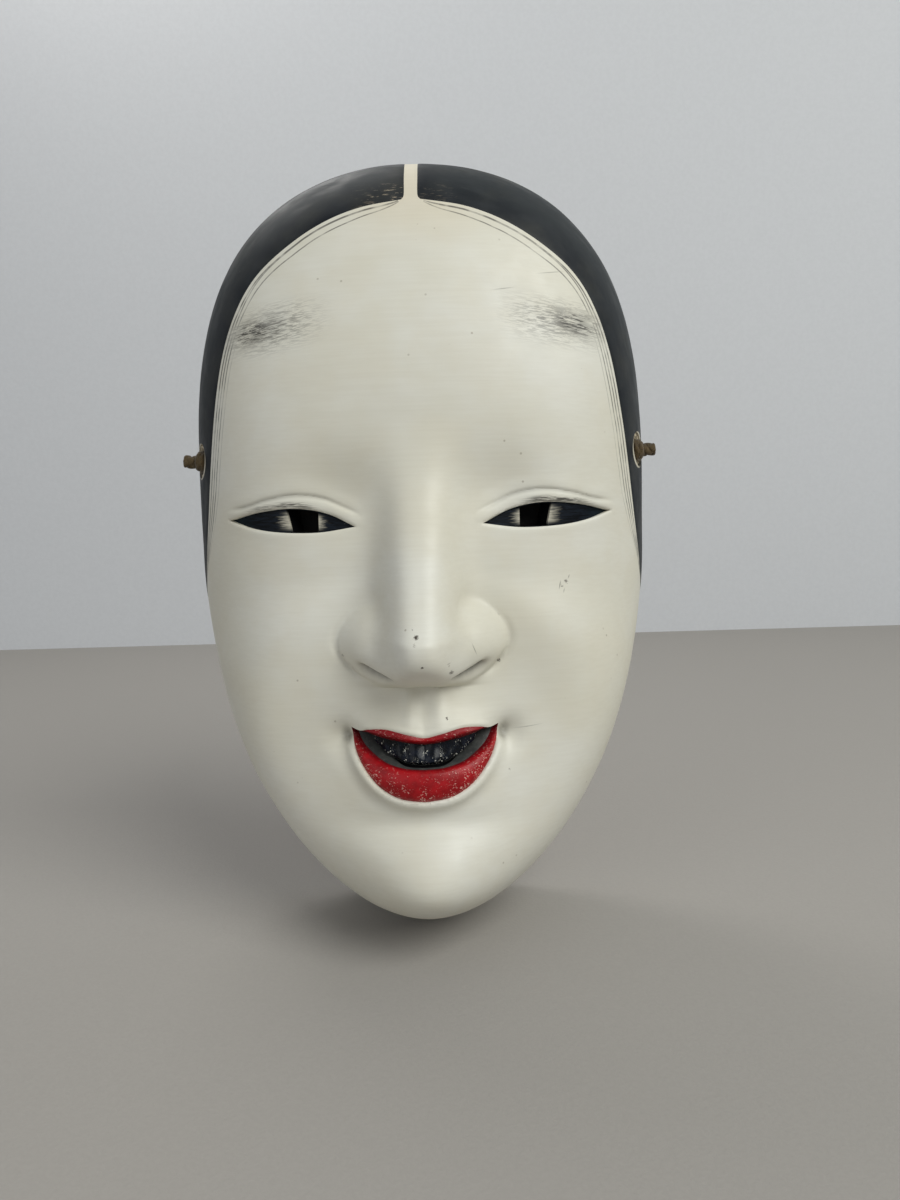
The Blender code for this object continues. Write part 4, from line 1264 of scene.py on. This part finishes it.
def wood_front(layout):
    """The wood under the paint, lower in the eyes, the mouth and the cord's holes."""
    eyes, opening = layout.eye_points, layout.opening_points
    sink = np.full(len(layout.net), SKIN + 0.02)
    sink[eyes] = EYE_SINK + SKIN + 0.04
    sink[opening] = (layout.lining_sink + SKIN + 0.04)[opening]
    on_edge = np.abs(layout.hole_gap + CHAMFER_RADIUS - HOLE_RADIUS) < 0.12
    sink[layout.hole_gap < -0.02] = 0.25
    sink[layout.either("cord_hole", layout.net) | on_edge] = CHAMFER_DEPTH
    return layout.sunk(sink, np.where(eyes | opening, 0.0, np.minimum(layout.detail, 0.0)))


def build_wood(layout):
    """The carved block, with gouge marks in its back and ink round its holes."""
    fade = np.clip((1.0 - layout.share**8) * 2.5, 0.0, 1.0)
    marks = ((gouge_marks(layout.x, layout.z) - 0.6) * fade)[:, None]
    back = hollow(layout.net) + np.array([0.0, 1.0, 0.0]) * marks
    inked = np.maximum(np.exp(-np.clip(layout.eye_gap - 0.5, 0.0, None) / 1.2),
                       np.exp(-np.clip(layout.inner_gap, 0.0, None) / 1.6))
    inked[layout.eye_points | layout.opening_points] = 1.0
    collar = smooth_step((0.3 - layout.hole_gap) / 0.4) * smooth_step((layout.depth - 1.0) / 2.0)
    holes = layout.either("pupil") | layout.either("cord_hole") | layout.within("slot")
    fields = {"inked": inked, "collar": collar}
    mesh = layer_mesh("carved_wood", layout.triangles[~holes], wood_front(layout), back, fields)
    new_object("carved_wood", mesh, wood_paint(), "mask", ["wood_core"])


def build_mask():
    """All the carved and painted pieces, from one layout; gives the centre of the right temple hole."""
    layout = Layout()
    for build in (build_face, build_hair, build_lips, build_lining, build_teeth, build_eyes, build_wood):
        build(layout)
    return layout.hole


def knot_tubes(centre_x, sign):
    """A cord's knot wound round its own tail, which is cut short outside the hole."""
    tail = [(sign * (centre_x + out), CORD_Y + sway, CORD_Z + lift)
            for out, sway, lift in ((-2.1, 0.0, 0.0), (0.0, 0.1, 0.0), (2.3, 0.0, 0.1), (4.45, -0.1, 0.3))]
    tail = smooth_line(tail, 0.3)
    wraps = []
    wound = 2.0 * math.pi * KNOT_TURNS
    for turn in np.linspace(0.0, wound, 60):
        out = -1.7 + 1.9 * turn / wound
        reach = 1.9 - 0.5 * smooth_step((turn - 9.0) / 2.5)
        wraps.append((sign * (centre_x + out), CORD_Y + reach * math.cos(turn),
                      CORD_Z + reach * math.sin(turn)))
    return [braided_tube(tail, 1.8, 0.14, 44), braided_tube(wraps, 1.15, 0.2, 28)]


def build_cord(centre_x):
    """The knots in the holes and the span between them behind the face."""
    olive = cord_paint()
    for side, sign in zip(SIDES, (1, -1)):
        mesh = tubes_mesh(side + "braided_knot", knot_tubes(centre_x, sign))
        new_object(side + "braided_knot", mesh, olive, "mask",
                                [side + "cord_knot"])
    end = (centre_x - 2.5, CORD_Z)
    half = [(x, CORD_Y, z) for x, z in [end] + SPAN]
    route = smooth_line(half + [(-x, y, z) for x, y, z in half[::-1]], 0.4)
    mesh = tubes_mesh("braided_span", [braided_tube(route, CORD_RADIUS, 0.22, 40)])
    span = new_object("braided_span", mesh, olive, "cord", ["hanging_cord"])


# ---- Camera, lights and floor ----


def build_camera():
    data = bpy.data.cameras.new("camera")
    data.sensor_width = 36.0
    data.lens = 27.03
    data.clip_start = 0.01
    camera = bpy.data.objects.new("camera", data)
    bpy.context.scene.collection.objects.link(camera)
    turn = Matrix.Rotation(math.radians(90.0 - 6.4), 4, "X") @ Matrix.Rotation(math.radians(-1.6), 4, "Z")
    camera.matrix_world = Matrix.Translation((0.00742, -0.271, 0.118 - ORIGIN_Z * MM)) @ turn
    bpy.context.scene.camera = camera


def area_light(name, place, aim, size, power, colour):
    data = bpy.data.lights.new(name, "AREA")
    data.shape = "DISK"
    data.size = size
    data.energy = power
    data.color = colour
    light = bpy.data.objects.new(name, data)
    bpy.context.scene.collection.objects.link(light)
    way = (np.array(aim) - np.array(place)).tolist()
    light.location = place
    light.rotation_mode = "QUATERNION"
    light.rotation_quaternion = Vector(way).to_track_quat("-Z", "Y")


def stage_paint(name, colour, size):
    paint = Paint(name, 0.8)
    fine = paint.noise(size, 4.0)
    paint.colour = paint.mix(paint.ramp(fine, 0.3, 0.7, 0.0, 0.12), colour, tuple(0.75 * c for c in colour))
    return paint.finish(0.85, fine, 0.2, 0.4)


def shade_card(side, finish):
    """Painted shade: a plain black card close behind an eye hole, standing in for the dark shade between a
    mask and the wall it leans on.
    """
    hole = unfold(pupil_loop())
    low, high = hole.min(axis=0) - CARD_MARGIN, hole.max(axis=0) + CARD_MARGIN
    net = np.array([(low[0], low[1]), (high[0], low[1]), (high[0], high[1]), (low[0], high[1])])
    corners = (hollow(net) + (0.0, CARD_GAP, -ORIGIN_Z)) * (side, 1.0, 1.0) * MM
    mesh = bpy.data.meshes.new("shade_card")
    mesh.from_pydata(corners.tolist(), [], [(0, 1, 2, 3)])
    mesh.materials.append(finish)
    made = bpy.data.objects.new("shade_card", mesh)
    bpy.context.scene.collection.objects.link(made)


def build_stage():
    """A plain floor that the chin stands on, a plain wall behind, and black cards behind the eye holes as
    painted shade.
    """
    floor_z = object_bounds()[0].z
    for name, corners, finish in (
        ("floor", [(-2, -2, floor_z), (2, -2, floor_z), (2, WALL_Y, floor_z), (-2, WALL_Y, floor_z)],
         stage_paint("pale floor", (0.36, 0.34, 0.315), 0.9)),
        ("backdrop", [(-2, WALL_Y, floor_z), (2, WALL_Y, floor_z), (2, WALL_Y, 2.5), (-2, WALL_Y, 2.5)],
         stage_paint("pale wall", (0.66, 0.675, 0.70), 3.0)),
    ):
        mesh = bpy.data.meshes.new(name)
        mesh.from_pydata(corners, [], [(0, 1, 2, 3)])
        mesh.materials.append(finish)
        made = bpy.data.objects.new(name, mesh)
        bpy.context.scene.collection.objects.link(made)
    # Painted shade: black cards that darken what is seen through the eye holes.
    finish = stage_paint("painted shade card", (0.004, 0.004, 0.0045), 0.02)
    for side in (1, -1):
        shade_card(side, finish)


def build_lights():
    world = bpy.data.worlds.new("soft sky")
    bpy.context.scene.world = world
    world.use_nodes = True
    world.node_tree.nodes["Background"].inputs[0].default_value = (0.93, 0.96, 1.0, 1.0)
    world.node_tree.nodes["Background"].inputs[1].default_value = 0.3
    area_light("window", (0.8, -0.85, 1.05), (0.0, 0.0, 0.1), 1.1, 16.5, (0.985, 0.995, 0.95))
    area_light("fill", (-0.8, -0.9, 0.45), (0.0, 0.0, 0.1), 0.9, 2.0, (0.95, 0.97, 1.0))
    area_light("back", (-0.25, 0.42, 0.75), (0.0, 0.0, 0.1), 0.4, 1.6, (1.0, 0.98, 0.95))
    bpy.context.scene.view_settings.view_transform = "Standard"


build_camera()
hole = build_mask()
build_cord(hole[0] + KNOT_PROUD)
build_stage()
build_lights()
